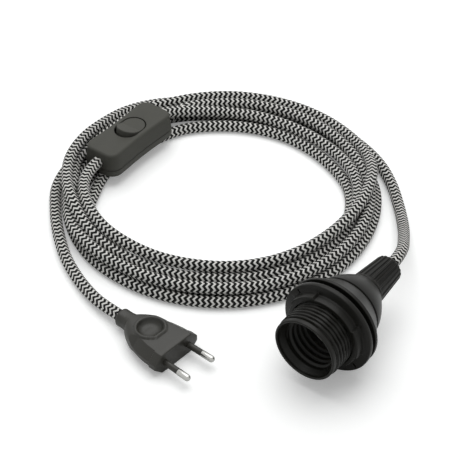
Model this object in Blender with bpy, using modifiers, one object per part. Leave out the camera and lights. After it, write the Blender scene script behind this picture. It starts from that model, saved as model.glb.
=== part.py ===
"""Fabric cable pendant light: a threaded lamp holder, an in-line rocker switch, a flat two-pin plug and a textile cord.

Metres, +Z up. The origin lies on the floor under the middle of the lamp holder, whose mouth points to -Y.
"""

import math

import bmesh
import bpy
import numpy as np
from mathutils import Vector

# Clearances and facets
GAP = 0.0003
THREAD_PLAY = 0.00035
STEPS = 36
SMALL_STEPS = 20

# Cord
CORD_R = 0.0036
TUBE_SPACING = 0.016

# Lamp holder: distances along its axis are counted from the mouth towards the cord gland
LIP_LENGTH = 0.0034
LIP_HEIGHT = 0.0006
MOUTH_WALL = 0.0015
MOUTH_RIM = 0.0006
BARREL_R = 0.0188
BARREL_WALL = 0.0018
BARREL_LENGTH = 0.0276
RIDGE_HEIGHT = 0.0011
RIDGE_PITCH = 0.0026
RIDGE_RELIEF = 0.0010
BULB_THREAD_R = 0.0135
BULB_THREAD_HEIGHT = 0.0011
BULB_THREAD_PITCH = 0.0036
BULB_THREAD_TURNS = 5
BULB_THREAD_START = 0.0025
BULB_WELL = 0.0232
SLEEVE_WALL = 0.0015
SEAT_WALL = 0.0020
BAND_R = 0.0281
BAND_LIP = 0.0020
BAND_WALL = 0.0028
BAND_LENGTH = 0.0137
BAND_STEP = 0.0005
SPIGOT_WALL = 0.0015
SPIGOT_LENGTH = 0.0040
DOME_R = 0.0202
DOME_LENGTH = 0.0170
DOME_TOP_R = 0.0114
DOME_CURVE = 1.5
DOME_WALL = 0.0017
DOME_TOP_WALL = 0.0026
RING_OVERHANG = 0.0003
RING_FLANGE = 0.0031
RING_STANDOFF = 0.0028
RING_COLLAR_WALL = 0.0022
RING_COLLAR_LENGTH = 0.0053
RING_LUG_HEIGHT = 0.0014
RING_LUGS = 3
RING_LUG_WIDTH = math.radians(47)
RING_LUG_ANGLE = math.radians(110.5)
RING_SLOT_SIZE = (0.0028, 0.0010)
RING_SLOT_INSET = 0.0027
RING_SLOT_ANGLE = math.radians(41.5)
GLAND_BASE_R = 0.0109
GLAND_END_R = 0.0086
GLAND_LENGTH = 0.0251
GLAND_WALL = 0.0015
GLAND_RIBS = 20
GLAND_RIB_DEPTH = 0.0007
GRIP_FLANGE = 0.0022
GRIP_WALL = 0.0010
GRIP_FINGER_WALL = 0.0020
GRIP_LENGTH = 0.0180
GRIP_NIPPLE = 0.0050
GRIP_SLOT = 0.0012
BLOCK_THICKNESS = 0.0040
BLOCK_CHAMFER = 0.0006
BLOCK_PLAY = 0.0016
STRIP_THICKNESS = 0.0005
STRIP_WIDTH = 0.0050
STRIP_RISE = 0.0018
CENTRE_LEG_X = 0.0068
SIDE_LEG_X = -0.0095
TERMINAL_X = 0.0100
TERMINAL_SIZE = (0.0060, 0.0080, 0.0066)
TERMINAL_SCREW_R = 0.0015
TERMINAL_HEAD_R = 0.0025
TERMINAL_HEAD = 0.0017
TERMINAL_WIRE_R = 0.0013

# In-line switch: its own X runs along it towards the lamp, its bottom lies on the coil's lowest turns
SWITCH_CENTRE = (-0.2058, 0.0566)
SWITCH_BOTTOM = 0.0075
SWITCH_HEADING = math.radians(90)
SWITCH_LENGTH = 0.0620
SWITCH_WIDTH = 0.0268
SWITCH_HEIGHT = 0.0160
SWITCH_CORNER = 0.0075
SWITCH_WAIST = 0.0009
SWITCH_WALL = 0.0018
SWITCH_BASE_HEIGHT = 0.0046
SWITCH_DRAFT = 0.0011
SWITCH_EDGE = 0.0019
SWITCH_CORD_HEIGHT = 0.0080
ROCKER_HOLE_LENGTH = 0.0226
ROCKER_HOLE_WIDTH = 0.0162
ROCKER_PLAY = 0.0005
ROCKER_OFFSET = 0.0015
ROCKER_TILT = math.radians(9.5)
ROCKER_PIVOT_DEPTH = 0.0040
ROCKER_SKIRT = 0.0035
TRUNNION_R = 0.0013
TRUNNION_LENGTH = 0.0014
POST_THICKNESS = 0.0015
POST_HALF = 0.0026
CONTACT_REACH = 0.0060
BRIDGE_WIDTH = 0.0040
SWITCH_TERMINAL_X = 0.0164
SWITCH_TERMINAL_SIZE = (0.0056, 0.0060, 0.0056)
CLAMP_X = 0.0235
CLAMP_SIZE = (0.0040, 0.0120, 0.0018)
COVER_SCREW_PLACE = (0.0225, 0.0088)
COVER_SCREW_R = 0.0011
COVER_SCREW_HEAD_R = 0.0024
COVER_SCREW_HEAD = 0.0012
COVER_BOSS_WALL = 0.0010

# Plug: its own X runs towards the pins, counted from its front face
PLUG_FRONT = (-0.0668, -0.0686)
PLUG_HEADING = math.radians(-5.0)
PLUG_LENGTH = 0.0442
PLUG_NECK_R = 0.0053
PLUG_NECK_LENGTH = 0.0072
PLUG_WIDTH = 0.0345
PLUG_HEIGHT = 0.0137
PLUG_BLOCK_LENGTH = 0.0060
PLUG_BLOCK_CHAMFER = 0.0055
PLUG_SHOULDER = 0.0008
DISH_R = 0.0078
DISH_DEPTH = 0.0018
DISH_LIP_R = 0.0008
DISH_PLACE = 0.0205
PIN_R = 0.0020
PIN_LENGTH = 0.0190
PIN_CORE_R = 0.0014
PIN_ROOT = 0.0080
PIN_SPREAD = 0.0186
PIN_LEAN = math.radians(1.6)
SLEEVE_LENGTH = 0.0100
SLEEVE_R = 0.0019

# Coil
COIL_CENTRE = (-0.1310, 0.0558)
COIL_INNER_R = 0.0708
COIL_OUTER_R = 0.0972
COIL_HEIGHT = 0.0202
COIL_ROUNDING = 0.0050
SEAT_CHANNEL = 0.0450

# Routes of the two free stretches of cord, after the straight start at the plug and at the gland
PLUG_ROUTE = [
    (-0.1235, -0.0633, 0.0056),
    (-0.1361, -0.0601, 0.0041),
    (-0.1519, -0.0541, 0.0037),
    (-0.1724, -0.0433, 0.0037),
    (-0.1858, -0.0337, 0.0037),
    (-0.1971, -0.0234, 0.0037),
    (-0.2066, -0.0122, 0.0037),
    (-0.2134, -0.0031, 0.0037),
    (-0.2196, 0.0070, 0.0037),
]
LAMP_ROUTE = [
    (-0.0018, 0.0555, 0.0262),
    (-0.0055, 0.0640, 0.0230),
    (-0.0113, 0.0756, 0.0178),
    (-0.0182, 0.0878, 0.0122),
    (-0.0274, 0.1009, 0.0074),
    (-0.0376, 0.1137, 0.0045),
    (-0.0487, 0.1255, 0.0037),
    (-0.0601, 0.1360, 0.0037),
    (-0.0715, 0.1440, 0.0037),
    (-0.0838, 0.1497, 0.0037),
    (-0.0954, 0.1534, 0.0037),
    (-0.1065, 0.1555, 0.0037),
    (-0.1176, 0.1560, 0.0037),
]

# Sizes that follow from the ones above
LIP_R = BARREL_R + LIP_HEIGHT
MOUTH_R = LIP_R - MOUTH_WALL
CREST_R = BARREL_R + RIDGE_HEIGHT
BARREL_IN_R = BARREL_R - BARREL_WALL
SLEEVE_OUT_R = BULB_THREAD_R + SLEEVE_WALL
BAND_END = BARREL_LENGTH + BAND_LENGTH
DOME_START = BAND_END + GAP
DOME_TOP = DOME_START + DOME_LENGTH
DOME_RISE = DOME_R - DOME_TOP_R
SPIGOT_R = DOME_R - DOME_RISE * (SPIGOT_LENGTH / DOME_LENGTH) ** DOME_CURVE - DOME_WALL - GAP
COUNTERBORE_R = SPIGOT_R - SPIGOT_WALL
BLOCK_R = BARREL_IN_R - BLOCK_PLAY
BLOCK_FACE = BULB_WELL + GAP
BLOCK_BACK = BLOCK_FACE + BLOCK_THICKNESS
GLAND_START = DOME_TOP + GAP
GLAND_END = GLAND_START + GLAND_LENGTH
GRIP_BORE_R = CORD_R + GAP
NIPPLE_R = GRIP_BORE_R + GRIP_WALL
RING_R = BAND_R + RING_OVERHANG
RING_SLOT_PLACE_R = RING_R - RING_SLOT_INSET
RING_BACK = BARREL_LENGTH - RING_STANDOFF
RING_FRONT = RING_BACK - RING_FLANGE
RING_BORE_R = CREST_R + THREAD_PLAY
RING_COLLAR_R = RING_BORE_R + RING_COLLAR_WALL
COVER_START = SWITCH_BASE_HEIGHT + GAP
PIVOT_HEIGHT = SWITCH_HEIGHT - ROCKER_PIVOT_DEPTH
CAVITY_TOP = SWITCH_HEIGHT - SWITCH_WALL


def finish(name, colour, roughness, metallic=0.0):
    made = bpy.data.materials.new(name)
    made.use_nodes = True
    shader = made.node_tree.nodes["Principled BSDF"]
    shader.inputs["Base Color"].default_value = (*colour, 1.0)
    shader.inputs["Roughness"].default_value = roughness
    shader.inputs["Metallic"].default_value = metallic
    return made


def clear_scene():
    for old in list(bpy.data.objects):
        bpy.data.objects.remove(old, do_unlink=True)


def new_collection(name, hidden=False):
    made = bpy.data.collections.new(name)
    bpy.context.scene.collection.children.link(made)
    made.hide_render = hidden
    return made


clear_scene()
PARTS = new_collection("fabric_cable_pendant_light")
CUTTERS = new_collection("cutters", hidden=True)
HOLDER_BLACK = finish("holder_black", (0.028, 0.028, 0.026), 0.42)
SWITCH_GREY = finish("switch_grey", (0.085, 0.085, 0.078), 0.55)
PLUG_GREY = finish("plug_grey", (0.045, 0.045, 0.042), 0.5)
NICKEL = finish("pin_nickel", (0.62, 0.61, 0.58), 0.22, 1.0)
BRASS = finish("brass", (0.55, 0.40, 0.16), 0.3, 1.0)
STEEL = finish("screw_steel", (0.5, 0.5, 0.5), 0.35, 1.0)
TEXTILE = finish("textile_cord", (0.30, 0.30, 0.29), 0.9)
CREAM = finish("insulator", (0.62, 0.60, 0.54), 0.5)


def add_object(name, data, material, parent=None):
    """One sub-part, placed by its parent empty."""
    made = bpy.data.objects.new(name, data)
    PARTS.objects.link(made)
    data.materials.append(material)
    made.parent = parent
    return made


def frame_at(name, place, turn):
    """An empty that carries the pieces of one assembly."""
    made = bpy.data.objects.new(name, None)
    PARTS.objects.link(made)
    made.location = place
    made.rotation_euler = turn
    return made


def as_cutter(piece):
    """Moves a shape to the cutters, where it isn't rendered."""
    PARTS.objects.unlink(piece)
    CUTTERS.objects.link(piece)
    piece.hide_render = True
    piece.display_type = "WIRE"
    return piece


def boolean(piece, other, operation):
    step = piece.modifiers.new(operation.title() + " " + other.name, "BOOLEAN")
    step.operation = operation
    step.solver = "EXACT"
    step.object = as_cutter(other)


def turned(name, profile, material, parent, steps=STEPS, closed=True):
    """A turned piece: its profile of (radius, height) runs down the outside and up the inside."""
    mesh = bpy.data.meshes.new(name)
    last = len(profile) if closed else len(profile) - 1
    edges = [(i, (i + 1) % len(profile)) for i in range(last)]
    mesh.from_pydata([(radius, 0, height) for radius, height in profile], edges, [])
    piece = add_object(name, mesh, material, parent)
    screw = piece.modifiers.new("Turn", "SCREW")
    screw.steps = steps
    screw.render_steps = steps
    screw.use_merge_vertices = True
    screw.merge_threshold = 0.00001
    screw.use_smooth_shade = False
    return piece


def from_rings(name, rings, material, parent, capped):
    """A skin over rings of points: a loft with end caps, or a closed loop of sections."""
    bm = bmesh.new()
    made = [[bm.verts.new(point) for point in ring] for ring in rings]
    pairs = list(zip(made, made[1:])) + ([] if capped else [(made[-1], made[0])])
    for ring, following in pairs:
        for i in range(len(ring)):
            j = (i + 1) % len(ring)
            bm.faces.new((ring[i], ring[j], following[j], following[i]))
    if capped:
        bm.faces.new(made[0])
        bm.faces.new(made[-1])
    bmesh.ops.recalc_face_normals(bm, faces=bm.faces)
    mesh = bpy.data.meshes.new(name)
    bm.to_mesh(mesh)
    bm.free()
    return add_object(name, mesh, material, parent)


def lathed(name, section_at, angles, material, parent):
    """A turned piece whose section of (radius, height) points changes with the angle."""
    rings = []
    for angle in angles:
        along = (math.cos(angle), math.sin(angle))
        rings.append([(r * along[0], r * along[1], height) for r, height in section_at(angle)])
    return from_rings(name, rings, material, parent, capped=False)


def stacked(name, outline, levels, material, parent):
    """A loft of one outline: each level is a (height, inset)."""
    rings = [[(x, y, height) for x, y in outline(inset)] for height, inset in levels]
    return from_rings(name, rings, material, parent, capped=True)


def box(name, size, place, material, parent, rounding=0.0):
    bpy.ops.mesh.primitive_cube_add(size=1)
    made = bpy.context.object
    mesh = made.data
    bpy.data.objects.remove(made)
    for vertex in mesh.vertices:
        vertex.co = Vector(a * b for a, b in zip(vertex.co, size))
    piece = add_object(name, mesh, material, parent)
    piece.location = place
    if rounding:
        bevel = piece.modifiers.new("Rounding", "BEVEL")
        bevel.width = rounding
        bevel.segments = 1
    return piece


def cylinder(name, radius, length, place, turn, material, parent, steps=SMALL_STEPS):
    """A cylinder with its middle at place and its axis along the turned Z."""
    bpy.ops.mesh.primitive_cylinder_add(vertices=steps, radius=radius, depth=length)
    made = bpy.context.object
    mesh = made.data
    bpy.data.objects.remove(made)
    piece = add_object(name, mesh, material, parent)
    piece.location = place
    piece.rotation_euler = turn
    return piece


def plate(name, outline, thickness, place, turn, material, parent):
    """A flat outline in its own XY plane, extruded to the thickness about that plane."""
    curve = bpy.data.curves.new(name, "CURVE")
    curve.dimensions = "2D"
    curve.fill_mode = "BOTH"
    curve.extrude = thickness / 2
    line = curve.splines.new("POLY")
    line.points.add(len(outline) - 1)
    for point, (x, y) in zip(line.points, outline):
        point.co = (x, y, 0, 1)
    line.use_cyclic_u = True
    piece = as_mesh(name, curve, material, parent)
    piece.location = place
    piece.rotation_euler = turn
    return piece


def as_mesh(name, curve, material, parent):
    """The solid of a curve as a mesh, with its caps welded to its sides."""
    holder = bpy.data.objects.new(name + "_curve", curve)
    bpy.context.scene.collection.objects.link(holder)
    graph = bpy.context.evaluated_depsgraph_get()
    mesh = bpy.data.meshes.new_from_object(holder.evaluated_get(graph))
    bpy.data.objects.remove(holder)
    bm = bmesh.new()
    bm.from_mesh(mesh)
    bmesh.ops.remove_doubles(bm, verts=bm.verts, dist=0.000001)
    bmesh.ops.recalc_face_normals(bm, faces=bm.faces)
    bm.to_mesh(mesh)
    bm.free()
    mesh.materials.clear()
    mesh.name = name
    return add_object(name, mesh, material, parent)


def smooth_route(points, spacing):
    """Points at about this spacing on a smooth curve through the route's own points."""
    knots = np.array(points)
    ends = np.vstack([2 * knots[0] - knots[1], knots, 2 * knots[-1] - knots[-2]])
    fine = []
    for before, start, end, after in zip(ends, ends[1:], ends[2:], ends[3:]):
        for t in np.linspace(0, 1, 12, endpoint=False):
            bend = (2 * before - 5 * start + 4 * end - after) * t**2
            twist = (3 * start - before - 3 * end + after) * t**3
            fine.append(0.5 * (2 * start + (end - before) * t + bend + twist))
    fine.append(knots[-1])
    fine = np.array(fine)
    travelled = np.append(0, np.cumsum(np.linalg.norm(np.diff(fine, axis=0), axis=1)))
    count = max(2, round(travelled[-1] / spacing) + 1)
    stations = np.linspace(0, travelled[-1], count)
    return np.stack([np.interp(stations, travelled, fine[:, axis]) for axis in range(3)], axis=1)


def tube(name, points, radius, material, parent=None):
    curve = bpy.data.curves.new(name, "CURVE")
    curve.dimensions = "3D"
    curve.bevel_depth = radius
    curve.bevel_resolution = 2
    curve.use_fill_caps = True
    line = curve.splines.new("POLY")
    line.points.add(len(points) - 1)
    for point, place in zip(line.points, points):
        point.co = (*place, 1)
    return as_mesh(name, curve, material, parent)


def rounded_outline(length, width, corner, waist=0.0):
    """The outline of a rounded rectangle as a function of its inset, with slightly drawn-in long sides."""

    def outline(inset):
        half = (length / 2 - inset, width / 2 - inset)
        radius = min(max(corner - inset, corner / 4), *half)
        points = []
        for turn, (side_x, side_y) in enumerate(((1, 1), (-1, 1), (-1, -1), (1, -1))):
            middle = (side_x * (half[0] - radius), side_y * (half[1] - radius))
            for k in range(6):
                angle = math.pi / 2 * (turn + k / 5)
                points.append((middle[0] + radius * math.cos(angle), middle[1] + radius * math.sin(angle)))
            if waist and side_x == side_y:
                for k in range(1, 6):
                    share = k / 6
                    points.append((middle[0] * (1 - 2 * share), points[-1][1]))
        return [(x, y - math.copysign(waist * math.cos(math.pi * x / length) ** 2, y)) for x, y in points]

    return outline


def screw(name, radius, length, head_radius, head, place, turn, parent):
    """A slotted screw: its head's underside at place, its shank along the turned -Z."""
    piece = turned(
        name,
        [
            (0, head),
            (head_radius * 0.8, head),
            (head_radius, head * 0.6),
            (head_radius, 0),
            (radius, 0),
            (radius, -length),
            (0, -length),
        ],
        STEEL,
        parent,
        steps=16,
        closed=False,
    )
    piece.location = place
    piece.rotation_euler = turn
    bar = box(name + "_slot", (3 * head_radius, head_radius / 3, head), (0, 0, head * 0.95), STEEL, piece)
    boolean(piece, bar, "DIFFERENCE")
    return piece


def make_socket_body(axis):
    """Barrel with the shade thread outside and the bulb thread inside, and the flared band that the dome screws on."""
    ridges = int((BARREL_LENGTH - RIDGE_RELIEF - LIP_LENGTH) / RIDGE_PITCH)
    profile = [
        (COUNTERBORE_R, BAND_END + SPIGOT_LENGTH),
        (SPIGOT_R, BAND_END + SPIGOT_LENGTH),
        (SPIGOT_R, BAND_END),
        (DOME_R - BAND_STEP, BAND_END),
        (DOME_R, BAND_END - BAND_STEP),
        (BAND_R - 2 * BAND_STEP, BARREL_LENGTH + BAND_LIP + BAND_STEP),
        (BAND_R, BARREL_LENGTH + BAND_LIP),
        (BAND_R, BARREL_LENGTH + BAND_STEP),
        (BAND_R - BAND_STEP, BARREL_LENGTH),
        (BARREL_R, BARREL_LENGTH),
    ]
    for ridge in reversed(range(ridges)):
        start = LIP_LENGTH + ridge * RIDGE_PITCH
        profile.append((BARREL_R, start + RIDGE_PITCH))
        profile.append((CREST_R, start + 0.66 * RIDGE_PITCH))
        profile.append((CREST_R, start + 0.40 * RIDGE_PITCH))
    profile += [
        (BARREL_R, LIP_LENGTH),
        (LIP_R, LIP_LENGTH - LIP_HEIGHT),
        (LIP_R, LIP_HEIGHT),
        (LIP_R - LIP_HEIGHT, 0),
        (MOUTH_R, 0),
        (MOUTH_R, MOUTH_RIM),
    ]
    for turn in range(BULB_THREAD_TURNS):
        start = BULB_THREAD_START + turn * BULB_THREAD_PITCH
        profile.append((BULB_THREAD_R, start))
        profile.append((BULB_THREAD_R - BULB_THREAD_HEIGHT, start + BULB_THREAD_PITCH / 2))
    profile += [
        (BULB_THREAD_R, BULB_THREAD_START + BULB_THREAD_TURNS * BULB_THREAD_PITCH),
        (BULB_THREAD_R, BULB_WELL),
        (SLEEVE_OUT_R, BULB_WELL),
        (SLEEVE_OUT_R, BULB_THREAD_START + 2 * SLEEVE_WALL),
        (BARREL_IN_R, BULB_THREAD_START + SLEEVE_WALL),
        (BARREL_IN_R, BARREL_LENGTH + SEAT_WALL),
        (BAND_R - BAND_WALL, BARREL_LENGTH + SEAT_WALL),
        (COUNTERBORE_R, BAND_END),
    ]
    return turned("socket_body", profile, HOLDER_BLACK, axis)


def make_shade_ring(axis):
    """Ring nut: a thick flange with a collar in front of it, and grip lugs round the collar."""
    pitch = 2 * math.pi / RING_LUGS
    edge = math.radians(1.5)
    start = RING_LUG_ANGLE - RING_LUG_WIDTH / 2
    angles = []
    for turn in range(RING_LUGS):
        first = start + turn * pitch
        angles += list(np.linspace(first, first + RING_LUG_WIDTH, 6))
        angles += list(np.linspace(first + RING_LUG_WIDTH + edge, first + pitch - edge, 8))
    front = RING_FRONT - RING_COLLAR_LENGTH
    rounding = RING_FLANGE / 5

    def section(angle):
        on_lug = (angle - start + edge / 2) % pitch < RING_LUG_WIDTH + edge
        collar = RING_COLLAR_R + (RING_LUG_HEIGHT if on_lug else 0)
        return [
            (RING_BORE_R, RING_BACK),
            (RING_R - rounding, RING_BACK),
            (RING_R, RING_BACK - rounding),
            (RING_R, RING_FRONT + rounding),
            (RING_R - rounding, RING_FRONT),
            (collar + RING_LUG_HEIGHT, RING_FRONT),
            (collar, RING_FRONT - RING_LUG_HEIGHT),
            (collar, front + RING_COLLAR_WALL / 3),
            (collar - RING_COLLAR_WALL / 3, front),
            (RING_BORE_R, front),
        ]

    ring = lathed("shade_ring", section, angles, HOLDER_BLACK, axis)
    for side in (0, 1):
        angle = RING_SLOT_ANGLE + side * math.pi
        place = (RING_SLOT_PLACE_R * math.cos(angle), RING_SLOT_PLACE_R * math.sin(angle), RING_BACK)
        slot = box(f"ring_slot_{side}", (*RING_SLOT_SIZE, 3 * RING_FLANGE), place, HOLDER_BLACK, axis)
        slot.rotation_euler = (0, 0, angle)
        boolean(ring, slot, "DIFFERENCE")
    return ring


def dome_radius(share):
    """The dome's outer radius from its open rim at 0 to its top at 1."""
    return DOME_R - DOME_RISE * share**DOME_CURVE


def make_dome_cap(axis):
    """Tapered cover that screws over the band's spigot and carries the cord grip."""
    ceiling = DOME_TOP - DOME_TOP_WALL
    seat = SPIGOT_LENGTH + GAP
    profile = [(NIPPLE_R + GAP, DOME_TOP)]
    profile += [(dome_radius(k / 8), DOME_START + k / 8 * DOME_LENGTH) for k in range(8, 0, -1)]
    profile += [(DOME_R, DOME_START + BAND_STEP), (DOME_R - BAND_STEP, DOME_START)]
    profile += [(SPIGOT_R + GAP, DOME_START), (SPIGOT_R + GAP, DOME_START + seat)]
    inside = DOME_LENGTH - DOME_TOP_WALL
    for k in range(1, 6):
        along = seat + k / 5 * (inside - seat)
        profile.append((dome_radius(along / DOME_LENGTH) - DOME_WALL, DOME_START + along))
    profile.append((NIPPLE_R + GAP, ceiling))
    return turned("dome_cap", profile, HOLDER_BLACK, axis)


def make_cable_gland(axis):
    """Tapered nut with ribs along it, which squeezes the grip's fingers on the cord."""
    pocket = GLAND_START + GRIP_FLANGE + GAP
    fingers = GLAND_START + GRIP_LENGTH + GAP
    flange = GLAND_BASE_R - GLAND_WALL
    neck = GRIP_BORE_R + GRIP_FINGER_WALL + GAP
    rounding = GLAND_WALL

    def section(angle):
        share = (angle * GLAND_RIBS / (2 * math.pi)) % 1
        groove = GLAND_RIB_DEPTH if share > 0.5 else 0
        slope = (GLAND_END_R - GLAND_BASE_R) / GLAND_LENGTH
        return [
            (GRIP_BORE_R, GLAND_END),
            (GLAND_END_R - rounding, GLAND_END),
            (GLAND_END_R - groove - rounding / 3, GLAND_END - rounding / 3),
            (GLAND_END_R - groove, GLAND_END - rounding),
            (GLAND_BASE_R + slope * rounding - groove, GLAND_START + rounding),
            (GLAND_BASE_R, GLAND_START + rounding / 2),
            (GLAND_BASE_R, GLAND_START),
            (flange, GLAND_START),
            (flange, pocket),
            (neck, pocket),
            (neck, fingers),
            (GRIP_BORE_R, fingers),
        ]

    angles = []
    for rib in range(GLAND_RIBS):
        angles += [(rib + share) * 2 * math.pi / GLAND_RIBS for share in (0.08, 0.42, 0.58, 0.92)]
    return lathed("cable_gland", section, angles, HOLDER_BLACK, axis)


def make_cord_grip(axis):
    """Collet with a threaded nipple, a flange on the dome and four fingers round the cord."""
    tip = GLAND_START + GRIP_LENGTH
    flange = GLAND_BASE_R - GLAND_WALL - GAP
    fingers = GRIP_BORE_R + GRIP_FINGER_WALL
    profile = [
        (GRIP_BORE_R, tip),
        (fingers - GRIP_FINGER_WALL / 2, tip),
        (fingers, tip - GRIP_FINGER_WALL),
        (fingers, GLAND_START + GRIP_FLANGE),
        (flange, GLAND_START + GRIP_FLANGE),
        (flange, GLAND_START),
        (NIPPLE_R, GLAND_START),
        (NIPPLE_R, GLAND_START - GRIP_NIPPLE),
        (GRIP_BORE_R, GLAND_START - GRIP_NIPPLE),
    ]
    grip = turned("cord_grip", profile, HOLDER_BLACK, axis, steps=24)
    bottom = GLAND_START + 2 * GRIP_FLANGE
    height = tip - bottom + GRIP_FLANGE
    for side, size in enumerate(((GRIP_SLOT, 3 * fingers), (3 * fingers, GRIP_SLOT))):
        place = (0, 0, bottom + height / 2)
        slot = box(f"grip_slot_{side}", (*size, height), place, HOLDER_BLACK, axis)
        boolean(grip, slot, "DIFFERENCE")
    return grip


def make_contact_block(axis):
    """Insulating disc on the end of the bulb thread's sleeve, with two slots for the contacts."""
    profile = [
        (0, BLOCK_BACK),
        (BLOCK_R - BLOCK_CHAMFER, BLOCK_BACK),
        (BLOCK_R, BLOCK_BACK - BLOCK_CHAMFER),
        (BLOCK_R, BLOCK_FACE),
        (0, BLOCK_FACE),
    ]
    block = turned("contact_block", profile, CREAM, axis, closed=False)
    for name, leg in (("centre", CENTRE_LEG_X), ("side", SIDE_LEG_X)):
        size = (STRIP_THICKNESS + 2 * GAP, STRIP_WIDTH + 2 * GAP, 4 * BLOCK_THICKNESS)
        slot = box(f"{name}_contact_slot", size, (leg, 0, BLOCK_FACE), CREAM, axis)
        boolean(block, slot, "DIFFERENCE")
    return block


def make_bulb_contacts(axis):
    """Two bent strips: one presses on the bulb's foot, one on its shell."""
    half = STRIP_THICKNESS / 2
    foot = BLOCK_BACK + GAP
    rise = BLOCK_FACE - GAP
    end = TERMINAL_X + STRIP_WIDTH / 2
    centre = [
        (CENTRE_LEG_X + half, rise - 2 * half),
        (CENTRE_LEG_X + half, foot),
        (end, foot),
        (end, foot + 2 * half),
        (CENTRE_LEG_X - half, foot + 2 * half),
        (CENTRE_LEG_X - half, rise),
        (0, rise - STRIP_RISE),
        (-CENTRE_LEG_X / 2, rise - STRIP_RISE),
        (-CENTRE_LEG_X / 2, rise - STRIP_RISE - 2 * half),
        (0, rise - STRIP_RISE - 2 * half),
    ]
    side = [
        (SIDE_LEG_X - half, rise),
        (SIDE_LEG_X - 2 * half, rise - STRIP_WIDTH),
        (SIDE_LEG_X, rise - STRIP_WIDTH),
        (SIDE_LEG_X + half, rise),
        (SIDE_LEG_X + half, foot + 2 * half),
        (-end, foot + 2 * half),
        (-end, foot),
        (SIDE_LEG_X - half, foot),
    ]
    for name, outline in (("centre_contact", centre), ("side_contact", side)):
        plate(name, outline, STRIP_WIDTH, (0, 0, 0), (math.pi / 2, 0, 0), BRASS, axis)


def make_terminal(name, size, place, bottom, parent):
    """A brass block with a wire hole across it and a screw from above."""
    middle = bottom + size[2] / 2
    block = box(name, size, (*place, middle), BRASS, parent, rounding=size[0] / 16)
    wire = cylinder(name + "_wire", TERMINAL_WIRE_R, 2 * size[1], (*place, bottom + size[2] / 3),
                    (math.pi / 2, 0, 0), BRASS, parent, 10)
    boolean(block, wire, "DIFFERENCE")
    depth = size[2] / 2
    top = bottom + size[2]
    well = cylinder(name + "_well", TERMINAL_SCREW_R + GAP, 2 * (depth + GAP), (*place, top), (0, 0, 0),
                    BRASS, parent, 12)
    boolean(block, well, "DIFFERENCE")
    screw(name + "_screw", TERMINAL_SCREW_R, depth, TERMINAL_HEAD_R, TERMINAL_HEAD,
          (*place, top + GAP), (0, 0, 0), parent)


def make_lamp_holder():
    place = Vector((0, -GLAND_END / 2, RING_R))
    axis = frame_at("lamp_holder_axis", place, (-math.pi / 2, 0, 0))
    make_socket_body(axis)
    make_shade_ring(axis)
    make_dome_cap(axis)
    make_cable_gland(axis)
    make_cord_grip(axis)
    make_contact_block(axis)
    make_bulb_contacts(axis)
    bottom = BLOCK_BACK + STRIP_THICKNESS + 2 * GAP
    for name, x in (("holder_terminal_left", -TERMINAL_X), ("holder_terminal_right", TERMINAL_X)):
        make_terminal(name, TERMINAL_SIZE, (x, 0), bottom, axis)
    start = GLAND_START - 2 * GRIP_NIPPLE
    cylinder("cord_in_gland", CORD_R, GLAND_END - start, (0, 0, (GLAND_END + start) / 2), (0, 0, 0),
             TEXTILE, axis, 16)
    return place + Vector((0, GLAND_END + GAP, 0)), Vector((0, 1, 0))


def make_switch_shells(frame):
    """Base tub and drafted cover, each hollow, parted by a thin joint."""
    outline = rounded_outline(SWITCH_LENGTH, SWITCH_WIDTH, SWITCH_CORNER, SWITCH_WAIST)
    top = SWITCH_HEIGHT
    side = SWITCH_DRAFT
    cover = stacked(
        "switch_cover",
        outline,
        [
            (COVER_START, 0),
            (top - SWITCH_EDGE, side),
            (top - SWITCH_EDGE * 0.45, side + SWITCH_EDGE * 0.2),
            (top - SWITCH_EDGE * 0.12, side + SWITCH_EDGE * 0.55),
            (top, side + SWITCH_EDGE),
        ],
        SWITCH_GREY,
        frame,
    )
    inner = [(COVER_START - GAP, SWITCH_WALL), (CAVITY_TOP, SWITCH_WALL + side)]
    boolean(cover, stacked("cover_cavity", outline, inner, SWITCH_GREY, frame), "DIFFERENCE")
    base = stacked(
        "switch_base",
        outline,
        [(0, SWITCH_EDGE / 2), (SWITCH_EDGE / 2, 0), (SWITCH_BASE_HEIGHT, 0)],
        SWITCH_GREY,
        frame,
    )
    tub = [(SWITCH_WALL, SWITCH_WALL), (SWITCH_BASE_HEIGHT + GAP, SWITCH_WALL)]
    boolean(base, stacked("base_cavity", outline, tub, SWITCH_GREY, frame), "DIFFERENCE")
    return cover, base


def rocker_outline(length, width):
    """A stadium that is symmetric about its own middle, as a function of its inset."""
    return rounded_outline(length, width, width / 2)


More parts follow.
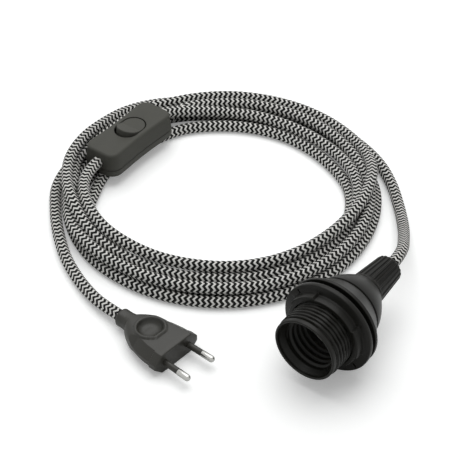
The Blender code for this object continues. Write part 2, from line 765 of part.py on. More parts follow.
def make_rocker(frame):
    """Rocker with a shallow V on top, trunnions at its sides and the contact bridge below."""
    pivot = bpy.data.objects.new("rocker_axis", None)
    PARTS.objects.link(pivot)
    pivot.parent = frame
    pivot.location = (ROCKER_OFFSET, 0, PIVOT_HEIGHT)
    pivot.rotation_euler = (0, ROCKER_TILT, 0)
    reach = ROCKER_HOLE_LENGTH / 2 - ROCKER_PLAY - ROCKER_PIVOT_DEPTH * math.sin(ROCKER_TILT)
    reach /= math.cos(ROCKER_TILT) + math.tan(ROCKER_TILT) * math.sin(ROCKER_TILT)
    width = ROCKER_HOLE_WIDTH - 2 * ROCKER_PLAY
    outline = rocker_outline(2 * reach, width)
    rise = ROCKER_PIVOT_DEPTH + reach * math.tan(ROCKER_TILT)
    rocker = stacked("switch_rocker", outline, [(-ROCKER_SKIRT, 0), (rise, 0)], SWITCH_GREY, pivot)
    wedge = [(0, ROCKER_PIVOT_DEPTH), (2 * reach, ROCKER_PIVOT_DEPTH + 2 * reach * math.tan(ROCKER_TILT)),
             (2 * reach, 3 * rise), (-2 * reach, 3 * rise),
             (-2 * reach, ROCKER_PIVOT_DEPTH + 2 * reach * math.tan(ROCKER_TILT))]
    top = plate("rocker_top", wedge, 2 * width, (0, 0, 0), (math.pi / 2, 0, 0), SWITCH_GREY, pivot)
    boolean(rocker, top, "DIFFERENCE")
    trunnion = cylinder("trunnions", TRUNNION_R, width + 2 * TRUNNION_LENGTH, (0, 0, 0),
                        (math.pi / 2, 0, 0), SWITCH_GREY, pivot, 12)
    boolean(rocker, trunnion, "UNION")
    bottom = -ROCKER_SKIRT - GAP - STRIP_THICKNESS / 2
    box("contact_bridge", (2 * CONTACT_REACH, BRIDGE_WIDTH, STRIP_THICKNESS), (0, 0, bottom), BRASS, pivot)
    return width


def make_switch_inside(frame, base, cover, rocker_width):
    """Bearing posts, cord saddles, terminals, contacts, clamps and the screws that close the shells."""
    floor = SWITCH_WALL
    post_y = rocker_width / 2 + GAP + POST_THICKNESS / 2
    for side in (-1, 1):
        height = PIVOT_HEIGHT - floor / 2
        place = (ROCKER_OFFSET, side * post_y, floor / 2 + height / 2)
        post = box(f"post_{side}", (2 * POST_HALF, POST_THICKNESS, height), place, SWITCH_GREY, frame)
        boolean(base, post, "UNION")
    notch = cylinder("trunnion_notch", TRUNNION_R + GAP, 4 * post_y, (ROCKER_OFFSET, 0, PIVOT_HEIGHT),
                     (math.pi / 2, 0, 0), SWITCH_GREY, frame, 12)
    boolean(base, notch, "DIFFERENCE")
    contact_top = PIVOT_HEIGHT - ROCKER_SKIRT - 2 * GAP - STRIP_THICKNESS
    drop = CONTACT_REACH * math.sin(ROCKER_TILT)
    ends = (("in", -1, 0.0, contact_top, "common_contact"),
            ("out", 1, CONTACT_REACH * 0.8, contact_top - drop, "live_contact"))
    for word, side, reach, tip, contact in ends:
        start = side * SWITCH_TERMINAL_X
        x = ROCKER_OFFSET + reach
        make_terminal(f"switch_terminal_{word}", SWITCH_TERMINAL_SIZE, (start, 0),
                      floor + STRIP_THICKNESS + 2 * GAP, frame)
        low = floor + GAP
        thick = STRIP_THICKNESS
        outline = [(start, low), (x, low), (x, tip), (x + side * thick, tip),
                   (x + side * thick, low + thick), (start, low + thick)]
        plate(contact, outline, BRIDGE_WIDTH, (0, 0, 0), (math.pi / 2, 0, 0), BRASS, frame)
        wall = side * (SWITCH_LENGTH / 2 - SWITCH_WALL / 2)
        top = SWITCH_CORD_HEIGHT
        tongue = box(f"saddle_{word}", (SWITCH_WALL, 2 * CORD_R, top - floor / 2),
                     (wall, 0, (top + floor / 2) / 2), SWITCH_GREY, frame)
        boolean(base, tongue, "UNION")
        rest = box(f"rest_{word}", (CLAMP_SIZE[0], 2 * CORD_R, top - CORD_R - floor / 2),
                   (side * CLAMP_X, 0, (top - CORD_R + floor / 2) / 2), SWITCH_GREY, frame)
        boolean(base, rest, "UNION")
        run = cylinder(f"cord_run_{word}", CORD_R + GAP, SWITCH_LENGTH / 2,
                       (side * (SWITCH_LENGTH / 2 + SWITCH_LENGTH / 20), 0, top), (0, math.pi / 2, 0),
                       SWITCH_GREY, frame, 16)
        boolean(base, run, "DIFFERENCE")
        entry = stacked(f"entry_{word}", rounded_outline(2 * (CORD_R + GAP), 4 * SWITCH_WALL, 0.0002),
                        [(0, 0), (top + CORD_R + GAP, 0)], SWITCH_GREY, frame)
        entry.location = (wall, 0, 0)
        entry.rotation_euler = (0, 0, math.pi / 2)
        boolean(cover, entry, "DIFFERENCE")
        clamp_z = top + CORD_R + GAP + CLAMP_SIZE[2] / 2
        box(f"cord_clamp_{word}", CLAMP_SIZE, (side * CLAMP_X, 0, clamp_z), CREAM, frame,
            rounding=CLAMP_SIZE[2] / 6)
        place = (side * COVER_SCREW_PLACE[0], -side * COVER_SCREW_PLACE[1])
        boss_top = CAVITY_TOP + SWITCH_WALL / 3
        boss = cylinder(f"boss_{word}", COVER_SCREW_R + GAP + COVER_BOSS_WALL, boss_top - COVER_START,
                        (*place, (boss_top + COVER_START) / 2), (0, 0, 0), SWITCH_GREY, frame, 14)
        boolean(cover, boss, "UNION")
        reach_up = CAVITY_TOP - SWITCH_WALL
        pilot = cylinder(f"pilot_{word}", COVER_SCREW_R + GAP, reach_up + GAP, (*place, (reach_up + GAP) / 2),
                         (0, 0, 0), SWITCH_GREY, frame, 12)
        boolean(cover, pilot, "DIFFERENCE")
        hole = cylinder(f"hole_{word}", COVER_SCREW_R + GAP, 4 * SWITCH_WALL, (*place, SWITCH_WALL),
                        (0, 0, 0), SWITCH_GREY, frame, 12)
        boolean(base, hole, "DIFFERENCE")
        sink = COVER_SCREW_HEAD + GAP
        recess = cylinder(f"recess_{word}", COVER_SCREW_HEAD_R + GAP, 2 * sink, (*place, 0), (0, 0, 0),
                          SWITCH_GREY, frame, 14)
        boolean(base, recess, "DIFFERENCE")
        screw(f"cover_screw_{word}", COVER_SCREW_R, reach_up - sink, COVER_SCREW_HEAD_R, COVER_SCREW_HEAD,
              (*place, COVER_SCREW_HEAD), (math.pi, 0, 0), frame)


def make_switch():
    frame = frame_at("switch_frame", (*SWITCH_CENTRE, SWITCH_BOTTOM), (0, 0, SWITCH_HEADING))
    cover, base = make_switch_shells(frame)
    width = make_rocker(frame)
    hole = stacked("rocker_hole", rocker_outline(ROCKER_HOLE_LENGTH, ROCKER_HOLE_WIDTH),
                   [(CAVITY_TOP - SWITCH_WALL, 0), (SWITCH_HEIGHT + SWITCH_WALL, 0)], SWITCH_GREY, frame)
    hole.location = (ROCKER_OFFSET, 0, 0)
    boolean(cover, hole, "DIFFERENCE")
    make_switch_inside(frame, base, cover, width)
    return frame


def plug_section(half_width, half_height, square, cut, place):
    """One cross-section of the plug's body: a superellipse, squarer for a larger power, with its corners cut."""
    most = half_width + half_height - cut
    ring = []
    for k in range(24):
        angle = 2 * math.pi * (k + 0.5) / 24
        across = math.copysign(abs(math.cos(angle)) ** (2 / square), math.cos(angle))
        up = math.copysign(abs(math.sin(angle)) ** (2 / square), math.sin(angle))
        shrink = min(1, most / (half_width * abs(across) + half_height * abs(up)))
        ring.append((place, shrink * half_width * across, shrink * half_height * up))
    return ring


def make_plug():
    """Moulded body with its neck, a finger dish on top, and two sleeved pins that lean together."""
    half = PLUG_HEIGHT / 2
    frame = frame_at("plug_frame", (*PLUG_FRONT, half), (0, 0, PLUG_HEADING))
    back = -PLUG_LENGTH
    waist = back + PLUG_NECK_LENGTH
    block_back = -PLUG_BLOCK_LENGTH
    wide = PLUG_WIDTH / 2 - PLUG_SHOULDER
    rings = [
        plug_section(PLUG_NECK_R * 0.93, PLUG_NECK_R * 0.90, 2.3, 0, back),
        plug_section(PLUG_NECK_R, PLUG_NECK_R * 0.97, 2.3, 0, back + PLUG_NECK_LENGTH * 0.12),
        plug_section(PLUG_NECK_R, PLUG_NECK_R * 0.97, 2.3, 0, waist - PLUG_NECK_LENGTH * 0.2),
    ]
    for k in range(9):
        share = k / 8
        grow = math.sin(share * math.pi / 2) ** 0.72
        width = PLUG_NECK_R * 1.12 + (wide - PLUG_NECK_R * 1.12) * grow
        height = PLUG_NECK_R * 1.05 + (half - PLUG_NECK_R * 1.05) * min(1, 2.2 * share)
        place = waist + (block_back - waist) * (0.06 + 0.94 * share)
        cut = PLUG_BLOCK_CHAMFER * min(1, 2 * share)
        rings.append(plug_section(width, height, 2.3 + 1.6 * share, cut, place))
    rings.append(plug_section(wide, half, 3.9, PLUG_BLOCK_CHAMFER, -PLUG_BLOCK_LENGTH / 4))
    body = from_rings("plug_body", rings, PLUG_GREY, frame, capped=True)
    cut = PLUG_BLOCK_CHAMFER
    wide = PLUG_WIDTH / 2
    block = [(wide, half - cut), (wide - cut, half), (cut - wide, half), (-wide, half - cut),
             (-wide, cut - half), (cut - wide, -half), (wide - cut, -half), (wide, cut - half)]
    front = plate("plug_block", block, PLUG_BLOCK_LENGTH, (-PLUG_BLOCK_LENGTH / 2, 0, 0),
                  (math.pi / 2, 0, math.pi / 2), PLUG_GREY, frame)
    boolean(body, front, "UNION")
    middle = -DISH_PLACE
    lip_r = DISH_R + DISH_LIP_R
    lip = turned("dish_lip", [(lip_r + DISH_LIP_R * math.sin(a), DISH_LIP_R * math.cos(a))
                              for a in (0, 1.05, 2.09, 3.14, 4.19, 5.24)], PLUG_GREY, frame, steps=28)
    lip.location = (middle, 0, half)
    boolean(body, lip, "UNION")
    ball_r = (DISH_R**2 + DISH_DEPTH**2) / (2 * DISH_DEPTH)
    bowl = [(ball_r * math.sin(a), ball_r - DISH_DEPTH - ball_r * math.cos(a))
            for a in np.linspace(math.asin(DISH_R / ball_r), 0, 6)]
    scoop = turned("dish_scoop", [(0, DISH_R), (DISH_R, DISH_R)] + bowl, PLUG_GREY, frame, steps=28, closed=False)
    scoop.location = (middle, 0, half)
    boolean(body, scoop, "DIFFERENCE")
    for word, side in (("left", 1), ("right", -1)):
        make_pin(word, side, body, frame)
    neck = Vector((*PLUG_FRONT, half))
    heading = Vector((math.cos(PLUG_HEADING), math.sin(PLUG_HEADING), 0))
    return neck - heading * (PLUG_LENGTH + GAP), -heading


def make_pin(word, side, body, frame):
    """Nickel pin with a rounded tip, thinner under its insulating sleeve, seated in the moulding."""
    place = (0, side * PIN_SPREAD / 2, 0)
    turn = (0, math.pi / 2, -side * PIN_LEAN)
    tip = [(PIN_R * math.sin(a), PIN_LENGTH - PIN_R + PIN_R * math.cos(a)) for a in np.linspace(0, math.pi / 2, 5)]
    tip[0] = (0, PIN_LENGTH)
    profile = tip + [(PIN_R, SLEEVE_LENGTH + GAP), (PIN_CORE_R, SLEEVE_LENGTH + GAP), (PIN_CORE_R, -PIN_ROOT),
                     (0, -PIN_ROOT)]
    pin = turned(f"plug_pin_{word}", profile, NICKEL, frame, steps=16, closed=False)
    inner = PIN_CORE_R + GAP
    cover = turned(f"pin_sleeve_{word}",
                   [(inner, SLEEVE_LENGTH), (SLEEVE_R, SLEEVE_LENGTH), (SLEEVE_R, GAP - PIN_ROOT / 4),
                    (inner, GAP - PIN_ROOT / 4)], PLUG_GREY, frame, steps=16)
    hole = turned(f"pin_seat_{word}",
                  [(0, PIN_R), (SLEEVE_R + GAP, PIN_R), (SLEEVE_R + GAP, -PIN_ROOT / 4), (inner, -PIN_ROOT / 4),
                   (inner, -PIN_ROOT - GAP), (0, -PIN_ROOT - GAP)], PLUG_GREY, frame, steps=16, closed=False)
    for piece in (pin, cover, hole):
        piece.location = place
        piece.rotation_euler = turn
    boolean(body, hole, "DIFFERENCE")


def make_coil(switch_frame):
    """The coil's outer shape as one ring, with a seat for the switch and channels for its cord ends."""
    r = COIL_ROUNDING
    profile = []
    for turn, (radius, height) in enumerate(((COIL_OUTER_R - r, COIL_HEIGHT - r), (COIL_OUTER_R - r, r),
                                             (COIL_INNER_R + r, r), (COIL_INNER_R + r, COIL_HEIGHT - r))):
        for k in range(3):
            angle = math.pi / 2 * (1 - turn - k / 2)
            profile.append((radius + r * math.cos(angle), height + r * math.sin(angle)))
    ring = turned("cord_coil", profile, TEXTILE, None, steps=64)
    ring.location = (*COIL_CENTRE, 0)
    outline = rounded_outline(SWITCH_LENGTH + 2 * GAP, SWITCH_WIDTH + 2 * GAP, SWITCH_CORNER)
    seat = stacked("switch_seat", outline, [(-GAP, 0), (COIL_HEIGHT + SWITCH_HEIGHT, 0)], TEXTILE, switch_frame)
    boolean(ring, seat, "DIFFERENCE")
    width = 2 * (CORD_R + GAP)
    bottom = SWITCH_CORD_HEIGHT - CORD_R - GAP
    length = 2 * (SEAT_CHANNEL + GAP)
    channel = box("cord_channel", (length, width, COIL_HEIGHT), (0, 0, bottom + COIL_HEIGHT / 2), TEXTILE, switch_frame)
    boolean(ring, channel, "DIFFERENCE")
    start = CLAMP_X - CLAMP_SIZE[0]
    for word, side in (("in", -1), ("out", 1)):
        ends = [(side * start, 0, SWITCH_CORD_HEIGHT), (side * SEAT_CHANNEL, 0, SWITCH_CORD_HEIGHT)]
        tube(f"cord_switch_{word}", ends, CORD_R, TEXTILE, switch_frame)


def make_tails(plug_start, plug_way, gland_start, gland_way):
    """The two free stretches, each straight out of its piece and then down to the floor and along the coil."""
    straight = 2 * CORD_R
    starts = (("cord_plug_tail", plug_start, plug_way, PLUG_ROUTE), ("cord_lamp_tail", gland_start, gland_way, LAMP_ROUTE))
    for name, start, way, route in starts:
        route = [tuple(start + way * straight)] + route
        tube(name, [tuple(start), *smooth_route(route, TUBE_SPACING)], CORD_R, TEXTILE)


gland_start, gland_way = make_lamp_holder()
switch = make_switch()
plug_start, plug_way = make_plug()
make_coil(switch)
make_tails(plug_start, plug_way, gland_start, gland_way)
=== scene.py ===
# %% [markdown]
# # A pendant lamp holder on a long textile cord
# The object is a black plastic lamp holder, an in-line rocker switch and a flat two-pin plug, joined by almost
# four metres of black and white braided cord that lies in a coil. This notebook dresses the packed solid model:
# it keeps every measure of it, and gives each visible piece its finer shape and its finish.

# %% Load the packed model
import math

import bmesh
import bpy
import numpy as np
from mathutils import Matrix, Vector


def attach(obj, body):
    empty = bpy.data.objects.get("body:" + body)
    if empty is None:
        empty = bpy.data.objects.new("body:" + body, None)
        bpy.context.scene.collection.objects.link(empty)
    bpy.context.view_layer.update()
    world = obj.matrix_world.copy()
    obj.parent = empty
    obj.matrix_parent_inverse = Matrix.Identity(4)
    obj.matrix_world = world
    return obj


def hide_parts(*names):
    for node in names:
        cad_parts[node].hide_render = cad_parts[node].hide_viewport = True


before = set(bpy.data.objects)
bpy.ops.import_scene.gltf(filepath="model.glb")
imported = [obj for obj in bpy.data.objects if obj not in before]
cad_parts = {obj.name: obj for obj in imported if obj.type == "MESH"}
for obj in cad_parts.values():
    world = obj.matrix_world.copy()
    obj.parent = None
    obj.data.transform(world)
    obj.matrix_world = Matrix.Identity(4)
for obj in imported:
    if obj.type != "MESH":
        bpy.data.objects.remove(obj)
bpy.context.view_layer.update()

# %% [markdown]
# ## The camera
# The photograph looks down on the coil from its near right side, through a long lens. A view could be matched by
# eye, but here the two angles and the lens come from laying circles of known size over the photograph, which is
# far closer. A camera in Blender looks along its own -Z, so the direction from the aim point back to the eye is
# turned into a rotation by a track quaternion.

# %% Place the camera
AIM = Vector((-0.1116, 0.0388, 0.0))
AZIMUTH = math.radians(37.31)
ELEVATION = math.radians(41.0)
EYE_DISTANCE = 1.014
FOCAL_PIXELS, PHOTO_PIXELS, SENSOR_MM = 1662, 460, 36.0

back = Vector((
    math.sin(AZIMUTH) * math.cos(ELEVATION),
    -math.cos(AZIMUTH) * math.cos(ELEVATION),
    math.sin(ELEVATION),
))
lens = bpy.data.cameras.new("camera")
lens.sensor_width = SENSOR_MM
lens.lens = FOCAL_PIXELS / PHOTO_PIXELS * SENSOR_MM
camera = bpy.data.objects.new("camera", lens)
camera.location = AIM + back * EYE_DISTANCE
camera.rotation_mode = "QUATERNION"
camera.rotation_quaternion = (-back).to_track_quat("-Z", "Y")
bpy.context.scene.collection.objects.link(camera)
bpy.context.scene.camera = camera
bpy.context.scene.view_settings.view_transform = "Standard"
print("lens", round(lens.lens, 1), "mm")

# %% [markdown]
# ## Skins over rings
# Nearly every piece here is a skin: rings of points, one after another, with a quad between each pair of
# neighbours. A turned piece, a moulded shell and a tube are all rings, so one helper serves them all. They could
# also be drawn by hand or turned by modifiers, but rings worked out from numbers keep every measure in plain
# sight. Smooth shading with sharp edges by angle keeps fillets soft and corners crisp.

# %% Faces and meshes over rings
def skin_faces(count, around, closed_along, capped):
    """Quads between neighbouring rings, and a polygon over each end where it is capped."""
    faces = []
    for k in range(count if closed_along else count - 1):
        here, there = k * around, (k + 1) % count * around
        for j in range(around):
            following = (j + 1) % around
            faces.append((here + j, here + following, there + following, there + j))
    if capped:
        faces.append(tuple(range(around)))
        faces.append(tuple(range((count - 1) * around, count * around)))
    return faces


def skin_mesh(name, rings, closed_along=False, capped=True):
    """A mesh over an array of rings, with its faces turned outwards."""
    rings = np.asarray(rings, float)
    count, around = rings.shape[:2]
    mesh = bpy.data.meshes.new(name)
    mesh.from_pydata(rings.reshape(-1, 3).tolist(), [], skin_faces(count, around, closed_along, capped))
    bm = bmesh.new()
    bm.from_mesh(mesh)
    bmesh.ops.recalc_face_normals(bm, faces=bm.faces)
    bm.to_mesh(mesh)
    bm.free()
    return mesh


def soften(mesh, degrees):
    """Smooth shading, with an edge kept sharp where its faces turn by more than this."""
    mesh.shade_smooth()
    mesh.set_sharp_from_angle(angle=math.radians(degrees))


print("two capped rings of four points make", len(skin_faces(2, 4, False, True)), "faces")

# %% [markdown]
# Each piece rides on one body of the frame and stands for one or more of its solids. Slots and bores that don't
# follow the rings are cut: building them into the rings would bend the mesh round them, while an exact boolean
# leaves a clean edge. The cut is made at once and kept as plain mesh, and its cutter is thrown away.

# %% A piece, and a cut through it
def add_piece(name, rings, body, stands_for, place=None, closed_along=False, capped=True, degrees=38):
    """A skin over rings, riding on a body and standing for its solids."""
    mesh = skin_mesh(name, rings, closed_along, capped)
    if place is not None:
        mesh.transform(place)
    soften(mesh, degrees)
    piece = bpy.data.objects.new(name, mesh)
    bpy.context.scene.collection.objects.link(piece)
    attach(piece, body)
    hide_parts(*stands_for)
    print(name, len(mesh.vertices), "points")
    return piece


def cutter_from(rings, place):
    """A capped skin that only cuts: it is removed once it has."""
    mesh = skin_mesh("cutter", rings)
    mesh.transform(place)
    made = bpy.data.objects.new("cutter", mesh)
    bpy.context.scene.collection.objects.link(made)
    return made


def carve(piece, cutters, degrees):
    """Cuts shapes out of a piece and keeps the result as plain mesh."""
    for cutter in cutters:
        step = piece.modifiers.new("Cut", "BOOLEAN")
        step.operation = "DIFFERENCE"
        step.solver = "EXACT"
        step.object = cutter
    graph = bpy.context.evaluated_depsgraph_get()
    mesh = bpy.data.meshes.new_from_object(piece.evaluated_get(graph))
    piece.modifiers.clear()
    piece.data = mesh
    for cutter in cutters:
        bpy.data.objects.remove(cutter)
    soften(mesh, degrees)
    print(piece.name, "carved", len(cutters), "times")


# %% [markdown]
# ## The cord
# The real cord is a round two-core cable in a braided textile sleeve. It leaves the lamp holder, runs round the
# coil into the switch, leaves the switch again and goes round five more times before it ends in the plug. Each
# stretch is one tube along a smooth curve. The knots of that curve are written out, in millimetres, twenty or so
# to a turn. They are the output of a separate program that isn't part of this script. They were computed
# beforehand from turns drawn over the photograph, which were pushed apart towards one diameter and kept off the
# floor. The strands still press into each other a little. A loop here that works the turns out would be the
# better way.
# A physics run could drop a loose cord, but it would never lie strand by strand as the photograph shows it.

# %% Routes of the two stretches, in millimetres
CORD_R = 0.0036

PLUG_SIDE_ROUTE = [
    (-111.1, -64.7, 6.8), (-132.7, -60.9, 4.8), (-153.3, -53.3, 3.7), (-172.7, -42.9, 3.7), (-190.2, -29.6, 3.7),
    (-206.1, -14.4, 3.7), (-220, 2.7, 3.7), (-227.7, 23.2, 3.6), (-231.7, 44.8, 3.6), (-231.8, 66.8, 3.6),
    (-225.1, 87.7, 3.6), (-214, 106.6, 3.6), (-198.6, 122.4, 3.6), (-181.3, 136, 3.6), (-161.4, 145.2, 3.6),
    (-139.8, 149.5, 3.6), (-117.8, 149, 3.6), (-96.5, 143.8, 3.6), (-76.9, 133.9, 3.6), (-59.9, 119.9, 3.6),
    (-47.8, 101.5, 3.6), (-40.3, 80.9, 3.6), (-37.3, 59.1, 3.6), (-39.1, 37.2, 3.6), (-46.2, 16.4, 3.6),
    (-58.1, -2.1, 3.6), (-73.7, -17.5, 3.6), (-92.5, -28.9, 3.6), (-113.4, -35.7, 3.6), (-135.3, -37.6, 3.6),
    (-157.1, -34.9, 3.6), (-177.5, -26.8, 3.6), (-195.5, -14.1, 3.6), (-210.4, 2, 3.6), (-219.1, 22.1, 3.6),
    (-223.1, 43.8, 3.6), (-222.7, 65.7, 3.6), (-216.6, 86.8, 3.6), (-205, 105.3, 3.6), (-188.5, 120, 3.6),
    (-170.2, 132.1, 3.6), (-149.5, 139.5, 3.6), (-127.6, 141.6, 3.6), (-105.9, 138.7, 3.6), (-85.7, 130.1, 3.6),
    (-68.4, 116.5, 3.6), (-55.2, 98.9, 3.6), (-47.4, 78.4, 3.6), (-44.8, 56.6, 3.6), (-47.5, 34.8, 3.6),
    (-55.9, 14.5, 3.6), (-69.3, -2.9, 3.6), (-86.6, -16.5, 3.6), (-106.5, -25.8, 3.6), (-128.1, -29.8, 3.6),
    (-150, -28.8, 3.6), (-170.8, -21.9, 3.6), (-186.6, -6.8, 3.6), (-197.5, 12.3, 3.6), (-204.9, 33, 3.6),
    (-205.3, 54.9, 3.6), (-201.7, 76.7, 3.6), (-193.7, 97.1, 3.6), (-178.5, 112.9, 3.6), (-159.8, 124.4, 3.6),
    (-138.7, 130.3, 3.6), (-116.7, 129.8, 3.6), (-95.5, 123.9, 3.6), (-76.3, 113.3, 3.6), (-62.2, 96.6, 3.6),
    (-54.3, 76.1, 3.6), (-52.5, 54.2, 3.6), (-56.5, 32.6, 3.6), (-66.3, 12.9, 3.6), (-81, -3.4, 3.6),
    (-99.5, -15.1, 3.6), (-120.5, -21.5, 3.6), (-142.5, -22.5, 4.6), (-163.8, -18.7, 8.5), (-184.4, -11.4, 10.2),
    (-200.6, 2.4, 5.5), (-210.2, 22, 3.6), (-214.1, 43.6, 3.7), (-212.8, 65.5, 3.8), (-208.5, 87.1, 4.5),
    (-202.4, 107.4, 10.2), (-189.3, 124.9, 9.7), (-171.2, 137.3, 9.8), (-150.5, 144.6, 9.9), (-128.6, 146.6, 10.1),
    (-106.9, 143.1, 10), (-86.6, 134.7, 10), (-68.4, 122.4, 9.5), (-54.3, 105.6, 9.8), (-45.1, 85.6, 10),
    (-41, 64.1, 10), (-42.1, 42.1, 10), (-48.5, 21.1, 10), (-60, 2.4, 9.9), (-75.7, -13, 10),
    (-94.3, -24.7, 10), (-115.1, -31.9, 9.9), (-136.9, -34.5, 10.1), (-158.9, -33.3, 10.7), (-179.7, -26.6, 10.8),
    (-196.6, -12.6, 10.8), (-209.3, 5.4, 10.5), (-221.7, 23.6, 10.5), (-224.4, 45.3, 10.7), (-224, 67.3, 10.7),
    (-222, 89.2, 10.6), (-211.5, 108.4, 10.7), (-198.4, 126, 10.3), (-181.5, 140.1, 10), (-161.5, 149.3, 10),
    (-140, 153.8, 10.1), (-118, 153, 10.5), (-96.9, 147.2, 11.3), (-77.8, 136.6, 13.5), (-63.1, 120.5, 16.2),
    (-54.4, 100.4, 16.9), (-50.4, 78.8, 17), (-50.5, 56.8, 16.7), (-55.3, 35.3, 16.3), (-65.3, 15.8, 15.6),
    (-80.1, -0.4, 15.3), (-98.5, -12.5, 15.4), (-119.2, -19.9, 15.4), (-141, -22, 15.7), (-162.8, -19.4, 16.6),
    (-182.8, -10.3, 17.6), (-198.6, 4.8, 16.8), (-205.8, 25.3, 15.5), (-205.8, 36, 15.5),
]
LAMP_SIDE_ROUTE = [
    (-205.8, 77, 15.5), (-205.8, 87.9, 15.5), (-194.8, 106.4, 12.2), (-179.3, 121.4, 9.3), (-159.8, 131.1, 9),
    (-138.3, 135.3, 9), (-116.4, 134.8, 9), (-95.1, 129.8, 9.3), (-75.9, 119.3, 10.2), (-61.4, 103, 10.2),
    (-52.6, 83, 10), (-48.4, 61.5, 9.9), (-50.2, 39.7, 10.1), (-57.9, 19.3, 10.1), (-70.9, 1.7, 10),
    (-87.9, -12.1, 10.1), (-107.6, -21.7, 10), (-129, -26.3, 10), (-150.9, -26.9, 10.7), (-172.2, -23.1, 13.6),
    (-191.6, -13.6, 17.2), (-208.5, 0.2, 17.2), (-221.2, 18.1, 17.4), (-227.9, 38.9, 16.7), (-230.5, 60.4, 13.9),
    (-230.4, 82, 10.2), (-225, 102.8, 6), (-212.4, 120.4, 3.7), (-196.5, 135.5, 3.6), (-177.9, 147.1, 3.6),
    (-157.3, 154.5, 3.6), (-135.6, 157.2, 3.6), (-113.7, 156.1, 3.7), (-92.1, 152.3, 3.7), (-71.9, 143.8, 3.7),
    (-54.3, 130.8, 3.7), (-39, 115.1, 4.5), (-25.5, 98.3, 8.4), (-14.2, 80.8, 15.4), (-4.8, 62.9, 23.7),
    (0, 42.3, 28.4), (0, 30, 28.4),
]
print(len(PLUG_SIDE_ROUTE), "and", len(LAMP_SIDE_ROUTE), "knots")

# %% [markdown]
# A smooth curve through knots needs a rule for its slope at each knot. Here the slope comes from the knots on
# either side, and the parameter grows with the distance between them, which keeps the curve from swinging out
# where two knots lie close together.

# %% A smooth curve through knots
STEPS_A_GAP = 16


def knot_slopes(knots):
    """The slope at each knot, weighted towards its nearer neighbour, and the gap after it."""
    stretched = np.vstack([2 * knots[0] - knots[1], knots, 2 * knots[-1] - knots[-2]])
    gaps = np.linalg.norm(np.diff(stretched, axis=0), axis=1)
    slopes = []
    for k in range(1, len(stretched) - 1):
        before = (stretched[k] - stretched[k - 1]) / gaps[k - 1]
        after = (stretched[k + 1] - stretched[k]) / gaps[k]
        slopes.append((before * gaps[k] + after * gaps[k - 1]) / (gaps[k] + gaps[k - 1]))
    return slopes, gaps[1:]


def smooth_curve(knots, spacing):
    """Points a fixed distance apart on a smooth curve through the knots."""
    knots = np.array(knots, float)
    slopes, gaps = knot_slopes(knots)
    fine = []
    for k in range(len(knots) - 1):
        start, end, gap = knots[k], knots[k + 1], gaps[k]
        for t in np.linspace(0, 1, STEPS_A_GAP, endpoint=False):
            rise = 3 * t**2 - 2 * t**3
            bend = gap * ((t**3 - 2 * t**2 + t) * slopes[k] + (t**3 - t**2) * slopes[k + 1])
            fine.append(start + (end - start) * rise + bend)
    fine = np.array(fine + [knots[-1]])
    travelled = np.append(0, np.cumsum(np.linalg.norm(np.diff(fine, axis=0), axis=1)))
    stations = np.linspace(0, travelled[-1], round(travelled[-1] / spacing) + 1)
    return np.stack([np.interp(stations, travelled, fine[:, axis]) for axis in range(3)], axis=1)


print("a curve through 3 knots has", len(smooth_curve([(0, 0, 0), (1, 0, 0), (1, 1, 0)], 0.1)), "points")

# %% [markdown]
# A bevelled curve object would draw the same tube, but the braid later needs to know where each point lies round
# and along the cord, so the tube is a mesh that carries those numbers. Its rings are carried along the curve
# without twisting: each ring's sideways direction is the last one, with only the part along the new heading
# taken out. Otherwise the braid would spin round the cord in the bends.

# %% Lay the cord as two tubes
CORD_STEP, CORD_SIDES = 0.003, 20


def tube_rings(line, radius, around):
    """Rings along a line, carried from one to the next without twisting."""
    heading = np.gradient(line, axis=0)
    heading /= np.linalg.norm(heading, axis=1)[:, None]
    side = np.cross(heading[0], (0, 0, 1))
    angles = np.linspace(0, 2 * math.pi, around, endpoint=False)
    rings = []
    for place, way in zip(line, heading):
        side = side - way * (side @ way)
        side /= np.linalg.norm(side)
        up = np.cross(side, way)
        rings.append([place + radius * (math.cos(a) * side + math.sin(a) * up) for a in angles])
    return np.array(rings), angles


def lay_cord(name, route, stands_for):
    """One stretch of cord, with its place round and along the braid stored on its points."""
    line = smooth_curve(np.array(route) / 1000, CORD_STEP)
    rings, angles = tube_rings(line, CORD_R, CORD_SIDES)
    piece = add_piece(name, rings, "light", stands_for, degrees=60)
    length = np.append(0, np.cumsum(np.linalg.norm(np.diff(line, axis=0), axis=1)))
    place = np.empty((len(line), len(angles), 3))
    place[:, :, 0] = np.cos(angles)
    place[:, :, 1] = np.sin(angles)
    place[:, :, 2] = length[:, None] * 1000
    braid = piece.data.attributes.new("braid_place", "FLOAT_VECTOR", "POINT")
    braid.data.foreach_set("vector", place.reshape(-1))
    print(name, round(length[-1], 3), "m")
    return piece, line, length[-1]


plug_side_cord, plug_side_line, plug_side_length = lay_cord(
    "plug_side_cord", PLUG_SIDE_ROUTE[::-1], ["cord_plug_tail", "cord_coil", "cord_switch_in"])
lamp_side_cord, lamp_side_line, lamp_side_length = lay_cord(
    "lamp_side_cord", LAMP_SIDE_ROUTE[::-1], ["cord_lamp_tail", "cord_switch_out", "cord_in_gland"])

# %% [markdown]
# ## Shader maths
# A material is a small graph of nodes. It could be wired node by node, as in the editor, but a pattern of ten
# sums is hard to read that way. Wrapping a socket in a class with Python's operators lets the pattern be written
# as the sum it is: each operator adds one Math node and returns its output.

